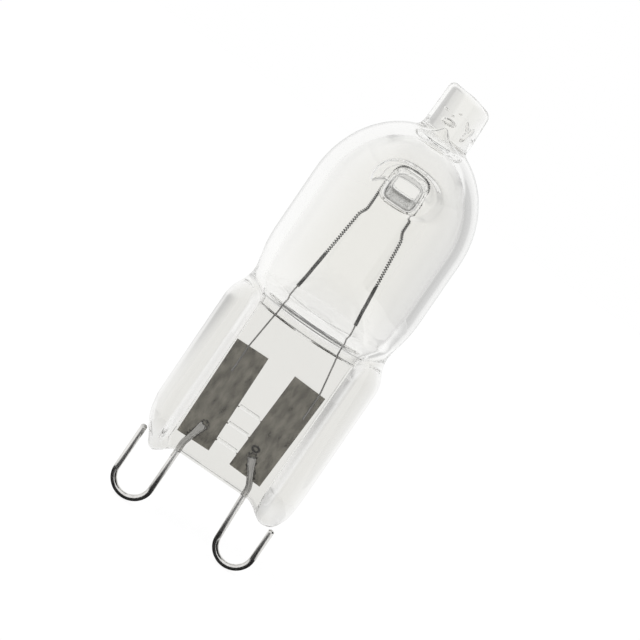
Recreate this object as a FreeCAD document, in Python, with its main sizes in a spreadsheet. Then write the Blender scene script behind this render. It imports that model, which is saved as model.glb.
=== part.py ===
import FreeCAD
import Part
import Sketcher
import math
import os

# Halogen capsule bulb with looped contact pins.
# A clear quartz envelope holds a coiled filament, and its flat pinch seals in two foils
# that carry the current.
# Millimetres. The bulb's axis is +Z, the pinch lies in the XZ plane, and z = 0 is the pinch's foot,
# where the pins leave the glass.

SIZES = [
    # alias, value, what it is
    ("pin_spacing", 9.0, "between the centres of the two pin loops"),
    ("pin_wire", 0.5, "diameter of the pin wire"),
    ("loop_width", 3.0, "between the centres of a loop's two legs"),
    ("loop_drop", 5.25, "from the pinch's foot to the lowest point of a loop"),
    ("left_end_rise", 0.2, "top of the left loop's free leg above the pinch's foot"),
    ("right_end_drop", 0.95, "top of the right loop's free leg below the pinch's foot"),
    ("pin_end_round", 0.12, "radius round a free leg's end"),
    ("left_elbow_offset", 3.0, "left pin's inner leg from the axis where it enters the glass"),
    ("right_elbow_offset", 2.8, "right pin's inner leg from the axis where it enters the glass"),
    ("pin_elbow_height", 0.75, "where the inner leg leans towards its weld"),
    ("pin_elbow_bend", 1.2, "bend radius of that elbow"),
    ("pin_weld_height", 2.7, "end of the pin on the foil"),
    ("left_weld_offset", 2.45, "that end from the axis, left pin"),
    ("right_weld_offset", 1.75, "that end from the axis, right pin"),
    ("foil_width", 2.75, "sealing foil across"),
    ("foil_length", 8.05, "sealing foil along the axis"),
    ("foil_thickness", 0.04, "sealing foil"),
    ("foil_foot", 1.25, "lower edge of the foils above the pinch's foot"),
    ("left_foil_offset", 2.5, "middle of the left foil's foot from the axis"),
    ("right_foil_offset", 2.05, "middle of the right foil's foot from the axis"),
    ("left_foil_lean", 1.2, "degrees that the left foil's head leans outwards"),
    ("right_foil_lean", 2.4, "degrees that the right foil's head leans outwards"),
    ("weld_bite", 0.03, "depth of the flat that welding leaves on a wire"),
    ("lead_wire", 0.12, "diameter of the inner leads"),
    ("lead_foot", 7.05, "lower end of the leads on the foils"),
    ("left_lead_offset", 3.0, "left lead's foot from the axis"),
    ("right_lead_offset", 3.25, "right lead's foot from the axis"),
    ("lead_neck_offset", 2.68, "leads from the axis where they enter the capsule"),
    ("lead_bend", 2.0, "bend radius of the leads"),
    ("coil_diameter", 0.3, "outside of the coiled filament"),
    ("leg_foot_height", 15.0, "lower end of the filament's legs"),
    ("leg_foot_spacing", 4.98, "between the legs' lower ends"),
    ("leg_core_height", 18.0, "how far up the leads run inside the legs"),
    ("kink_drop", 3.1, "middle of the kink above each leg, below the filament post's middle"),
    ("kink_spacing", 3.66, "between the legs just below the kink"),
    ("kink_rise", 0.6, "height of the kink"),
    ("kink_bend", 0.35, "bend radius at the kink"),
    ("coil_clearance", 0.02, "between the coil and the glass post"),
    ("pinch_width", 13.2, "pinch across its two side rails"),
    ("rail_width", 2.2, "each side rail of the pinch"),
    ("rail_thickness", 4.4, "side rails, front to back"),
    ("rail_edge_round", 0.9, "radius along the rails' outer edges"),
    ("rail_slope", 0.3, "width of the slope from a rail down to the flat"),
    ("web_thickness", 2.0, "flat of the pinch between the rails"),
    ("shoulder_height", 12.9, "top of the pinch"),
    ("shoulder_slope", 0.75, "height of the slope at the pinch's shoulders"),
    ("foot_half_width", 3.1, "half of the level part of the pinch's foot"),
    ("toe_drop", 0.95, "rails' lowest points below the pinch's foot"),
    ("toe_round", 0.3, "radius of the toes"),
    ("left_toe_inset", 0.65, "left rail's lowest point inwards of its heel"),
    ("right_toe_inset", 0.65, "right rail's lowest point inwards of its heel"),
    ("left_heel_clearance", 0.25, "between the left heel and the left pin's free leg"),
    ("left_heel_drop", 0.05, "left heel below the pinch's foot"),
    ("left_flank_height", 3.0, "where the left rail reaches its full width"),
    ("right_heel_inset", 0.65, "right heel inwards of the pinch's side"),
    ("right_heel_drop", 0.6, "right heel below the pinch's foot"),
    ("right_flank_height", 1.6, "where the right rail reaches its full width"),
    ("press_mark_width", 0.13, "each mark that the pinching jaws leave on the flat"),
    ("press_mark_depth", 0.07, "depth of those marks"),
    ("press_mark_length", 1.75, "length of those marks, between the foils"),
    ("press_mark_pitch", 1.46, "spacing of those marks"),
    ("press_mark_foot", 2.35, "height of the lowest mark"),
    ("bulb_diameter", 12.6, "capsule outside"),
    ("wall", 1.0, "capsule wall"),
    ("neck_sink", 0.9, "where the neck starts, below the pinch's top"),
    ("neck_inset", 0.9, "neck's sides inwards of the pinch's sides"),
    ("neck_tuck", 0.15, "neck's foot inwards of the faces of the pinch's flat"),
    ("neck_length", 5.1, "from the pinch's top to where the neck has become round"),
    ("slot_sink", 0.3, "bottom of the gas space below the pinch's top"),
    ("slot_width", 8.6, "bottom of the gas space, across"),
    ("slot_thickness", 0.9, "bottom of the gas space, front to back"),
    ("dome_foot", 22.7, "where the dome starts"),
    ("dome_rise", 7.2, "height of the dome"),
    ("tip_sink", 1.3, "where the exhaust tip starts, below the dome's top"),
    ("tip_foot_width", 4.0, "exhaust tip at its foot, across"),
    ("tip_head_width", 3.44, "exhaust tip at its head, across"),
    ("tip_foot_depth", 3.7, "exhaust tip at its foot, front to back"),
    ("tip_head_depth", 2.7, "exhaust tip at its head, front to back"),
    ("tip_length", 4.7, "from there to the middle of the exhaust tip's head"),
    ("tip_slant", 9.0, "degrees that the head slopes down to the right"),
    ("tip_round", 0.5, "radius round the head"),
    ("bore_foot_width", 2.0, "collapsed exhaust bore where it opens into the dome"),
    ("bore_head_width", 0.9, "collapsed exhaust bore at its closed end"),
    ("bore_length", 2.4, "what is left of the exhaust bore"),
    ("post_rise", 2.5, "middle of the filament post above the dome's foot"),
    ("post_width", 2.72, "filament post across"),
    ("post_depth", 2.6, "filament post from its flat underside to its top"),
    ("post_corner", 0.4, "radius of the post's lower corners"),
    ("post_shoulder", 0.9, "radius of the post's upper corners, which the coil follows"),
    ("root_width", 4.6, "post's roots where they meet the wall"),
    ("root_length", 2.2, "length of the post's roots"),
    ("pit_wall", 0.26, "glass between a dimple and the post's outside, at the dimple's mouth"),
    ("pit_web", 0.7, "glass left between the two dimples"),
    ("pit_floor_width", 2.0, "floor of a dimple, across"),
    ("pit_floor_height", 1.0, "floor of a dimple, up and down"),
    ("pit_floor_corner", 0.3, "radius of the floor's corners"),
    ("rim_round", 1.3, "radius of the dimples' flared rims"),
    ("rim_width", 4.8, "dimples across their flared rims"),
]

SHEET = "sizes"
NECK_FOOT = "({shoulder_height} - {neck_sink})"
NECK_HEAD = "({shoulder_height} + {neck_length})"
NECK_WIDTH = "({pinch_width} - 2 * {neck_inset})"
SLOT_FOOT = "({shoulder_height} - {slot_sink})"
POST_HEIGHT = "({dome_foot} + {post_rise})"
KINK_HEIGHT = f"({POST_HEIGHT} - {{kink_drop}})"
TIP_FOOT = "({dome_foot} + {dome_rise} - {tip_sink})"
FREE_LEG = "(({pin_spacing} + {loop_width} - {pin_wire}) / 2)"
LEFT_HEEL = f"({FREE_LEG} - {{left_heel_clearance}})"
RIGHT_HEEL = "({pinch_width} / 2 - {right_heel_inset})"
FREE_ENDS = {"left": "{left_end_rise}", "right": "-{right_end_drop}"}
# How flat the neck and the gas space are: share of the way up from the pinch,
# and share of the flatness left there.
NECK_SHARES = ((0.0, 1.0), (0.083, 0.973), (0.167, 0.883), (0.25, 0.721), (0.333, 0.526), (0.42, 0.385),
               (0.54, 0.25), (0.69, 0.122), (0.84, 0.036), (1.0, 0.0))
GAS_SHARES = ((0.0, 1.0), (0.074, 0.9), (0.15, 0.803), (0.296, 0.588), (0.444, 0.381), (0.63, 0.181),
              (0.815, 0.055), (1.0, 0.0))
PRESS_MARKS = 3
FRONT_AND_BACK = (("front", -1), ("back", 1))

doc = FreeCAD.newDocument("capsule_bulb")


def make_sheet():
    """Put the driving dimensions into the sheet, one named cell each."""
    sheet = doc.addObject("Spreadsheet::Sheet", SHEET)
    for row, (alias, value, meaning) in enumerate(SIZES, start=1):
        sheet.set(f"A{row}", alias)
        sheet.set(f"B{row}", str(value))
        sheet.set(f"C{row}", meaning)
        sheet.setAlias(f"B{row}", alias)
    doc.recompute()
    return sheet


sizes = make_sheet()


def named(text):
    """Turn words such as {wall} into references to the sheet's cells."""
    return text.replace("{", SHEET + ".").replace("}", "")


def number(text):
    """Work out an expression over the sheet's cells."""
    return float(sizes.evalExpression(named(text)))


def bind(thing, **properties):
    """Bind an object's properties to expressions. A double underscore stands for a dot."""
    for name, text in properties.items():
        thing.setExpression(name.replace("__", "."), named(text))


def place(thing, x="0", y="0", z="0", axis=None, degrees="0"):
    """Bind an object's place and, if an axis is given, its turn about that axis."""
    if axis is not None:
        thing.Placement = FreeCAD.Placement(FreeCAD.Vector(), FreeCAD.Rotation(FreeCAD.Vector(*axis), 1.0))
        bind(thing, Placement__Rotation__Angle=degrees)
    bind(thing, Placement__Base__x=x, Placement__Base__y=y, Placement__Base__z=z)


def primitive(kind, name, **properties):
    """Add a Part primitive whose sizes are bound to the sheet."""
    thing = doc.addObject("Part::" + kind, name)
    bind(thing, **properties)
    return thing


def cut(name, base, tool):
    """Take one shape from another."""
    thing = doc.addObject("Part::Cut", name)
    thing.Base = base
    thing.Tool = tool
    return thing


def fuse(name, shapes):
    """Join shapes that are one piece of glass or metal."""
    thing = doc.addObject("Part::MultiFuse", name)
    thing.Shapes = shapes
    thing.Refine = True
    return thing


def origin_plane(body, role):
    """One of a body's own origin planes."""
    return next(plane for plane in body.Origin.OriginFeatures if plane.Role == role)


def new_sketch(body, name, role, offset="0"):
    """A sketch on one of the body's origin planes, moved along the plane's normal."""
    sketch = body.newObject("Sketcher::SketchObject", name)
    sketch.AttachmentSupport = (origin_plane(body, role), [""])
    sketch.MapMode = "FlatFace"
    bind(sketch, AttachmentOffset__Base__z=offset)
    return sketch


def fix_point(sketch, geometry, end, point):
    """Bind a point of the sketch to its two expressions."""
    for kind, axis, text in (("DistanceX", -2, point[0]), ("DistanceY", -1, point[1])):
        if text == "0":
            sketch.addConstraint(Sketcher.Constraint("PointOnObject", geometry, end, axis))
        else:
            index = sketch.addConstraint(Sketcher.Constraint(kind, -1, 1, geometry, end, number(text)))
            sketch.setExpression(f"Constraints[{index}]", named(text))


def fix_radius(sketch, geometry, text):
    """Bind the radius of an arc or circle to its expression."""
    index = sketch.addConstraint(Sketcher.Constraint("Radius", geometry, number(text)))
    sketch.setExpression(f"Constraints[{index}]", named(text))


def vector(point):
    """A sketch point worked out from its two expressions."""
    return FreeCAD.Vector(number(point[0]), number(point[1]), 0)


def outline(sketch, points):
    """A closed outline of straight edges with each corner bound to the sheet."""
    corners = [vector(point) for point in points]
    count = len(corners)
    for i in range(count):
        sketch.addGeometry(Part.LineSegment(corners[i], corners[(i + 1) % count]), False)
    for i in range(count):
        sketch.addConstraint(Sketcher.Constraint("Coincident", i, 2, (i + 1) % count, 1))
    for i, point in enumerate(points):
        fix_point(sketch, i, 1, point)


def circle(sketch, centre, radius):
    """A circle with its centre and radius bound to the sheet."""
    index = sketch.addGeometry(Part.Circle(vector(centre), FreeCAD.Vector(0, 0, 1), number(radius)), False)
    fix_point(sketch, index, 3, centre)
    fix_radius(sketch, index, radius)


def corner(point, radius):
    """A rounded corner of a wire's route."""
    return {"kind": "corner", "point": point, "radius": radius}


def half_turn(centre, radius, way):
    """A half turn of a wire's route. It starts on the left of the centre if way is 1."""
    return {"kind": "turn", "point": centre, "radius": radius, "way": way}


def route(sketch, start, bends, end):
    """A wire's route: straight runs from start to end, joined by tangent bends."""
    stops = [(vector(start), vector(start))]
    for bend in bends:
        middle = vector(bend["point"])
        reach = FreeCAD.Vector(number(bend["radius"]) * bend.get("way", 0), 0, 0)
        stops.append((middle - reach, middle + reach))
    stops.append((vector(end), vector(end)))
    runs = [[stops[i][1], stops[i + 1][0]] for i in range(len(stops) - 1)]
    arcs = []
    for i, bend in enumerate(bends):
        middle, radius = vector(bend["point"]), number(bend["radius"])
        before, after = runs[i], runs[i + 1]
        if bend["kind"] == "corner":
            into = (middle - before[0]).normalize()
            out = (after[1] - middle).normalize()
            turn = into.getAngle(out)
            reach = radius * math.tan(turn / 2)
            before[1] = middle - into * reach
            after[0] = middle + out * reach
            inwards = (out - into).normalize()
            through = middle + inwards * (radius / math.cos(turn / 2) - radius)
        else:
            rise = math.copysign(radius, before[1].y - before[0].y)
            through = middle + FreeCAD.Vector(0, rise, 0)
        arcs.append(Part.Arc(before[1], through, after[0]))
    for run in runs:
        sketch.addGeometry(Part.LineSegment(run[0], run[1]), False)
    for i, arc in enumerate(arcs):
        index = sketch.addGeometry(arc, False)
        ends = [sketch.getPoint(index, end).distanceToPoint(runs[i][1]) for end in (1, 2)]
        forwards = ends[0] < ends[1]
        first, last = (1, 2) if forwards else (2, 1)
        sketch.addConstraint(Sketcher.Constraint("Tangent", i, 2, index, first))
        sketch.addConstraint(Sketcher.Constraint("Tangent", i + 1, 1, index, last))
        fix_radius(sketch, index, bends[i]["radius"])
        if bends[i]["kind"] == "corner":
            mark = sketch.addGeometry(Part.Point(vector(bends[i]["point"])), True)
            fix_point(sketch, mark, 1, bends[i]["point"])
            sketch.addConstraint(Sketcher.Constraint("PointOnObject", mark, 1, i))
            sketch.addConstraint(Sketcher.Constraint("PointOnObject", mark, 1, i + 1))
        else:
            fix_point(sketch, index, 3, bends[i]["point"])
    fix_point(sketch, 0, 1, start)
    fix_point(sketch, len(runs) - 1, 2, end)


def bent_wire(name, start, bends, end, diameter, depth="0"):
    """A round wire swept along its route, which lies in the plane y = depth and starts along Z."""
    body = doc.addObject("PartDesign::Body", name)
    path = new_sketch(body, name + "_route", "XZ_Plane", f"-({depth})")
    route(path, start, bends, end)
    section = new_sketch(body, name + "_section", "XY_Plane", start[1])
    circle(section, (start[0], depth), diameter + "/2")
    doc.recompute()
    pipe = body.newObject("PartDesign::AdditivePipe", name + "_pipe")
    pipe.Profile = section
    pipe.Spine = (path, [f"Edge{i + 1}" for i in range(len(path.Shape.Edges))])
    doc.recompute()
    return body


def runs_through(edge):
    """Whether a straight edge runs from front to back."""
    return abs(edge.tangentAt(edge.FirstParameter).y) > 0.5


def round_edges(body, name, radius, wanted):
    """Round those edges of a body's last feature that a test picks out."""
    feature = body.Tip
    edges = [f"Edge{i + 1}" for i, edge in enumerate(feature.Shape.Edges) if wanted(edge)]
    rounding = body.newObject("PartDesign::Fillet", name)
    rounding.Base = (feature, edges)
    bind(rounding, Radius=radius)
    doc.recompute()


# Depths, front to back. The pin wires lie in the middle plane, the foils behind them,
# and the leads on the foils.
FOIL_FRONT = "({pin_wire} / 2 - {weld_bite})"
LEAD_DEPTH = FOIL_FRONT + " - {lead_wire} / 2 + {weld_bite}"
LEFT, RIGHT = "left", "right"
SIDES = ((LEFT, "-1"), (RIGHT, "1"))


def seal_foil(side, sign):
    """A thin foil strip, leaning a little, sealed behind its pin's inner end."""
    foil = primitive("Box", side + "_seal_foil", Length="{foil_width}", Width="{foil_thickness}",
                     Height="{foil_length}")
    lean = f"{sign} * {{{side}_foil_lean}}"
    half = "{foil_width} / 2"
    place(foil, x=f"{sign} * {{{side}_foil_offset}} - {half} * cos({lean} * 1deg)", y=FOIL_FRONT,
          z=f"{{foil_foot}} + {half} * sin({lean} * 1deg)", axis=(0, 1, 0), degrees=lean)
    return foil


def contact_pin(side, sign, foil):
    """A looped contact pin: free leg, half turn, inner leg, and an inner end welded to the foil."""
    middle = f"{sign} * {{pin_spacing}} / 2"
    outer = f"{sign} * ({{pin_spacing}} + {{loop_width}}) / 2"
    turn_height = "-{loop_drop} + {loop_width} / 2 + {pin_wire} / 2"
    wire = bent_wire(
        side + "_pin_wire",
        start=(outer, FREE_ENDS[side]),
        bends=[
            half_turn((middle, turn_height), "{loop_width} / 2", -int(sign)),
            corner((f"{sign} * {{{side}_elbow_offset}}", "{pin_elbow_height}"), "{pin_elbow_bend}"),
        ],
        end=(f"{sign} * {{{side}_weld_offset}}", "{pin_weld_height}"),
        diameter="{pin_wire}",
    )
    end = number(FREE_ENDS[side])
    round_edges(wire, side + "_end_rounding", "{pin_end_round}",
                lambda edge: edge.Closed and abs(edge.CenterOfMass.z - end) < number("{pin_end_round}"))
    return cut(side + "_contact_pin", wire, foil)


def inner_lead(side, sign, foil):
    """A thin lead from its weld on the foil, through the seal, up into the filament's leg."""
    leg_foot = f"{sign} * {{leg_foot_spacing}} / 2"
    leg = f"({KINK_HEIGHT} - {{kink_rise}} / 2 - {{leg_foot_height}})"
    climb = f"({{leg_core_height}} - {{leg_foot_height}}) / {leg}"
    core = f"{sign} * ({{leg_foot_spacing}} - ({{leg_foot_spacing}} - {{kink_spacing}}) * {climb}) / 2"
    foot = f"{sign} * {{{side}_lead_offset}}"
    wire = bent_wire(
        side + "_lead_wire",
        start=(foot, "{lead_foot}"),
        bends=[
            corner((foot, "{foil_foot} + {foil_length}"), "{lead_bend}"),
            corner((f"{sign} * {{lead_neck_offset}}", SLOT_FOOT), "{lead_bend}"),
            corner((leg_foot, "{leg_foot_height}"), "{lead_bend}"),
        ],
        end=(core, "{leg_core_height}"),
        diameter="{lead_wire}",
        depth=LEAD_DEPTH,
    )
    return cut(side + "_inner_lead", wire, foil)


def filament(leads):
    """The coil's outer form: up one leg, over the glass post and down the other, on the leads' ends."""
    gap = "{coil_clearance} + {coil_diameter} / 2"
    bight, shoulder = f"{{post_width}} / 2 + {gap}", f"{{post_shoulder}} + {gap}"
    top = f"{POST_HEIGHT} + {{post_depth}} / 2 + {gap}"
    low, high = f"{KINK_HEIGHT} - {{kink_rise}} / 2", f"{KINK_HEIGHT} + {{kink_rise}} / 2"
    coil = bent_wire(
        "coil",
        start=("-{leg_foot_spacing} / 2", "{leg_foot_height}"),
        bends=[
            corner(("-{kink_spacing} / 2", low), "{kink_bend}"),
            corner((f"-({bight})", high), "{kink_bend}"),
            corner((f"-({bight})", top), shoulder),
            corner((bight, top), shoulder),
            corner((bight, high), "{kink_bend}"),
            corner(("{kink_spacing} / 2", low), "{kink_bend}"),
        ],
        end=("{leg_foot_spacing} / 2", "{leg_foot_height}"),
        diameter="{coil_diameter}",
        depth=LEAD_DEPTH,
    )
    return cut("filament", coil, fuse("lead_cores", leads))


def round_to_flat(name, swell, foot, head, foot_width, foot_depth, head_width):
    """A glass form that runs from a flat oval at its foot to a circle at its head."""
    sections = []
    for i, (share, flatness) in enumerate(swell):
        section = doc.addObject("Part::Ellipse", f"{name}_section{i}")
        bind(
            section,
            MajorRadius=f"({head_width} - ({head_width} - {foot_width}) * {flatness:.4f}) / 2",
            MinorRadius=f"({head_width} - ({head_width} - {foot_depth}) * {flatness:.4f}) / 2",
            Placement__Base__z=f"{foot} + ({head} - {foot}) * {share:.4f}",
        )
        sections.append(section)
    loft = doc.addObject("Part::Loft", name)
    loft.Sections = sections
    loft.Solid = True
    return loft


def capsule(name, inset):
    """The round part of the capsule with its dome, drawn inwards by an inset."""
    radius = f"{{bulb_diameter}} / 2 - {inset}"
    barrel = primitive("Cylinder", name + "_barrel", Radius=radius, Height=f"{{dome_foot}} - {NECK_HEAD}")
    place(barrel, z=NECK_HEAD)
    dome = primitive("Ellipsoid", name + "_dome", Radius1=f"{{dome_rise}} - {inset}", Radius2=radius,
                     Radius3=radius, Angle1="0deg")
    place(dome, z="{dome_foot}")
    return [barrel, dome]


def pinch_half(side, heel):
    """One half of the pinch's outline, from its level foot by the toe and heel up to the shoulder."""
    return [
        ("{foot_half_width}", "0"),
        (f"{heel} - {{{side}_toe_inset}}", "-{toe_drop}"),
        (heel, f"-{{{side}_heel_drop}}"),
        ("{pinch_width} / 2", f"{{{side}_flank_height}}"),
        ("{pinch_width} / 2", "{shoulder_height} - {shoulder_slope}"),
        (f"{NECK_WIDTH} / 2", "{shoulder_height}"),
    ]


def pinch():
    """The flat pinch: an outline pressed to the rails' thickness, with a thinner flat between the rails."""
    body = doc.addObject("PartDesign::Body", "pinch")
    front = new_sketch(body, "pinch_outline", "XZ_Plane")
    left = [(f"-({x})", z) for x, z in pinch_half("left", LEFT_HEEL)]
    outline(front, pinch_half("right", RIGHT_HEEL) + left[::-1])
    pad = body.newObject("PartDesign::Pad", "pinch_pad")
    pad.Profile = front
    pad.SideType = "Symmetric"
    bind(pad, Length="{rail_thickness}")
    doc.recompute()
    heel, top = number(LEFT_HEEL), number("{shoulder_height} - {shoulder_slope}")

    def outer_edge(edge):
        """Whether an edge runs along the outside of a rail or a shoulder."""
        middle = edge.CenterOfMass
        return (abs(middle.x) > heel or middle.z > top) and not runs_through(edge)

    round_edges(body, "rail_rounding", "{rail_edge_round}", outer_edge)
    low = number("-({toe_drop} + {right_heel_drop}) / 2")
    round_edges(body, "toe_rounding", "{toe_round}",
                lambda edge: runs_through(edge) and edge.CenterOfMass.z < low)
    return body


def web_recesses():
    """The two hollows, front and back, that leave the thin flat between the sloping sides of the rails."""
    hollows = []
    flat, brow = "({pinch_width} / 2 - {rail_width})", "({pinch_width} / 2 - {rail_width} + {rail_slope})"
    for face, way in FRONT_AND_BACK:
        floor, mouth = f"{way} * {{web_thickness}} / 2", f"{way} * {{rail_thickness}} / 2"
        body = doc.addObject("PartDesign::Body", face + "_hollow")
        section = new_sketch(body, face + "_hollow_section", "XY_Plane", "-{toe_drop}")
        outline(section, [(f"-{flat}", floor), (flat, floor), (brow, mouth), (f"-{brow}", mouth)])
        hollow = body.newObject("PartDesign::Pad", face + "_hollow_pad")
        hollow.Profile = section
        bind(hollow, Length="{shoulder_height} + {toe_drop} + {rail_slope}")
        hollows.append(body)
    return hollows


def press_marks():
    """The short level marks that the pinching jaws leave between the foils, front and back."""
    marks = []
    for face, way in FRONT_AND_BACK:
        for i in range(PRESS_MARKS):
            mark = primitive("Box", f"{face}_press_mark{i + 1}", Length="{press_mark_length}",
                             Width="{press_mark_depth}", Height="{press_mark_width}")
            start = "-{web_thickness} / 2" if way < 0 else "{web_thickness} / 2 - {press_mark_depth}"
            place(mark, x="-{press_mark_length} / 2", y=start,
                  z=f"{{press_mark_foot}} + {i} * {{press_mark_pitch}}")
            marks.append(mark)
    return marks


def exhaust_tip():
    """The stub of the exhaust tube, drawn down, nipped off on a slant and fire-rounded."""
    foot = primitive("Ellipse", "tip_foot_section", MajorRadius="{tip_foot_width} / 2",
                     MinorRadius="{tip_foot_depth} / 2")
    place(foot, z=TIP_FOOT)
    head = primitive("Ellipse", "tip_head_section", MajorRadius="{tip_head_width} / 2",
                     MinorRadius="{tip_head_depth} / 2")
    place(head, z=f"{TIP_FOOT} + {{tip_length}}", axis=(0, 1, 0), degrees="{tip_slant}")
    stub = doc.addObject("Part::Loft", "tip_stub")
    stub.Sections = [foot, head]
    stub.Solid = True
    doc.recompute()
    rim = max(range(len(stub.Shape.Edges)), key=lambda i: stub.Shape.Edges[i].CenterOfMass.z)
    rounded = doc.addObject("Part::Fillet", "exhaust_tip")
    rounded.Base = stub
    rounded.Edges = [(rim + 1, number("{tip_round}"), number("{tip_round}"))]
    return rounded


def exhaust_bore():
    """What is left of the exhaust tube's bore, closed at its upper end."""
    bore = primitive("Cone", "exhaust_bore", Radius1="{bore_foot_width} / 2",
                     Radius2="{bore_head_width} / 2", Height="{bore_length}")
    place(bore, z=TIP_FOOT)
    return bore


def round_bar(sketch, width, height, low_corner, high_corner):
    """A section of the post or of a dimple: a rectangle with rounded corners about the post's middle."""
    side, floor, top = f"{width} / 2", f"{POST_HEIGHT} - {height} / 2", f"{POST_HEIGHT} + {height} / 2"
    bends = [
        corner((f"-({side})", floor), low_corner),
        corner((f"-({side})", top), high_corner),
        corner((side, top), high_corner),
        corner((side, floor), low_corner),
    ]
    route(sketch, ("0", floor), bends, ("0", floor))


def glass_post():
    """The filament post: a bar from wall to wall, wider at its two roots."""
    body = doc.addObject("PartDesign::Body", "post_bar")
    section = new_sketch(body, "post_section", "XZ_Plane")
    round_bar(section, "{post_width}", "{post_depth}", "{post_corner}", "{post_shoulder}")
    bar = body.newObject("PartDesign::Pad", "post_pad")
    bar.Profile = section
    bar.SideType = "Symmetric"
    bind(bar, Length="{bulb_diameter} - {wall}")
    forms = [body]
    for face, way in FRONT_AND_BACK:
        root = primitive("Cone", face + "_root", Radius1="{post_width} / 2", Radius2="{root_width} / 2",
                         Height="{root_length}")
        place(root, y=f"{way} * (({{bulb_diameter}} - {{wall}}) / 2 - {{root_length}})", z=POST_HEIGHT,
              axis=(1, 0, 0), degrees=str(-90 * way))
        forms.append(root)
    return fuse("glass_post", forms)


def dimple(face, way):
    """One pit, pressed into the capsule almost to its middle, narrowing to its floor, with a flared rim."""
    body = doc.addObject("PartDesign::Body", face + "_pit")
    floor = new_sketch(body, face + "_pit_floor", "XZ_Plane", f"{-way} * {{pit_web}} / 2")
    round_bar(floor, "{pit_floor_width}", "{pit_floor_height}", "{pit_floor_corner}", "{pit_floor_corner}")
    mouth = new_sketch(body, face + "_pit_mouth", "XZ_Plane", f"{-way} * {{bulb_diameter}} / 2")
    round_bar(mouth, "({post_width} - 2 * {pit_wall})", "({post_depth} - 2 * {pit_wall})", "{post_corner}",
              "({post_shoulder} - {pit_wall})")
    doc.recompute()
    pit = body.newObject("PartDesign::AdditiveLoft", face + "_pit_loft")
    pit.Profile = floor
    pit.Sections = [mouth]
    sleeve = primitive("Cylinder", face + "_rim_sleeve", Radius="{rim_width} / 2", Height="2 * {rim_round}")
    bead = primitive("Torus", face + "_rim_bead", Radius1="{rim_width} / 2", Radius2="{rim_round}")
    depth = f"{way} * ({{bulb_diameter}} / 2 - {{rim_round}})"
    for thing in (sleeve, bead):
        place(thing, y=depth, z=POST_HEIGHT, axis=(1, 0, 0), degrees=str(-90 * way))
    return [body, cut(face + "_rim", sleeve, bead)]


def quartz_envelope(sealed_in):
    """The one glass piece: capsule, neck, pinch, tip and post, hollow, and fused round what it seals in."""
    bulb = "{bulb_diameter}"
    inside = "({bulb_diameter} - 2 * {wall})"
    root = "({web_thickness} - 2 * {neck_tuck})"
    neck = round_to_flat("neck", NECK_SHARES, NECK_FOOT, NECK_HEAD, NECK_WIDTH, root, bulb)
    slot = "{slot_thickness}"
    gas_neck = round_to_flat("gas_neck", GAS_SHARES, SLOT_FOOT, NECK_HEAD, "{slot_width}", slot, inside)
    base = cut("pressed_pinch", pinch(), fuse("jaw_forms", web_recesses() + press_marks()))
    blank = fuse("glass_blank", capsule("capsule", "0") + [neck, base, exhaust_tip()])
    gas = fuse("gas_forms", capsule("gas", "{wall}") + [gas_neck, exhaust_bore()])
    gas_space = cut("gas_space", gas, glass_post())
    pits = [form for face, way in FRONT_AND_BACK for form in dimple(face, way)]
    hollow = cut("hollow_blank", blank, fuse("hollows", [gas_space] + pits))
    return cut("quartz_envelope", hollow, fuse("sealed_in", sealed_in))


def build():
    """Make every piece and return the objects whose shapes are written out."""
    foils = {side: seal_foil(side, sign) for side, sign in SIDES}
    doc.recompute()
    pins = {side: contact_pin(side, sign, foils[side]) for side, sign in SIDES}
    leads = {side: inner_lead(side, sign, foils[side]) for side, sign in SIDES}
    coil = filament(list(leads.values()))
    metal = [*foils.values(), *pins.values(), *leads.values()]
    envelope = quartz_envelope(metal)
    return [*metal, coil, envelope]


def check(pieces):
    """Stop if any object failed, or a piece is not one sound solid."""
    for thing in doc.Objects:
        if "Invalid" in thing.State or "Error" in thing.State:
            raise RuntimeError(f"{thing.Label} failed: {thing.State}")
    for piece in pieces:
        shape = piece.Shape
        if shape.isNull() or not shape.isValid() or len(shape.Solids) != 1:
            raise RuntimeError(f"{piece.Label} is not one valid solid: {len(shape.Solids)} solids")
        print(f"{piece.Label}: {shape.Volume:.3f} mm3, {len(shape.Faces)} faces")


pieces = build()
doc.recompute()
check(pieces)
os.makedirs("parts", exist_ok=True)
for piece in pieces:
    piece.Shape.exportStep(f"parts/{piece.Label}.step")
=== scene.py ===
import logging
import math
from dataclasses import astuple, dataclass, field
from enum import Enum
from typing import Callable, Sequence

import bpy
import numpy as np
from mathutils import Matrix, Vector


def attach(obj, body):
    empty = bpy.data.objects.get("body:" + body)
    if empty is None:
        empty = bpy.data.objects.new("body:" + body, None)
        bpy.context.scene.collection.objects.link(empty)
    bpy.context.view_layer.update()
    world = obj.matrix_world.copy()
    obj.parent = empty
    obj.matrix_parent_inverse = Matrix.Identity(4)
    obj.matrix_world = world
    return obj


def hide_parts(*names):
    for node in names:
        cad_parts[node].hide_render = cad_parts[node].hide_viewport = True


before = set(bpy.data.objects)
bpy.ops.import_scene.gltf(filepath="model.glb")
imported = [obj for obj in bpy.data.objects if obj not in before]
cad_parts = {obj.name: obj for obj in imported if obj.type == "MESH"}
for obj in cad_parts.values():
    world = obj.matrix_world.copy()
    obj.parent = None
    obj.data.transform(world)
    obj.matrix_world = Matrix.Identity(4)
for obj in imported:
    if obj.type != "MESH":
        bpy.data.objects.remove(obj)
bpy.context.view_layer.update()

# A halogen capsule bulb: clear quartz, a coiled filament over a glass post, sealing foils and looped pins.
# Sizes are in millimetres. The bulb stands on +Z, its pinch lies in the XZ plane and its front is -Y.

MM = 0.001
ROOT = "root"
log = logging.getLogger("capsule_bulb")

Triple = tuple[float, float, float]
Span = tuple[float, float]
Profile = tuple[Span, ...]
Curve = Callable[[np.ndarray], np.ndarray]
Shader = bpy.types.Node


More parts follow.
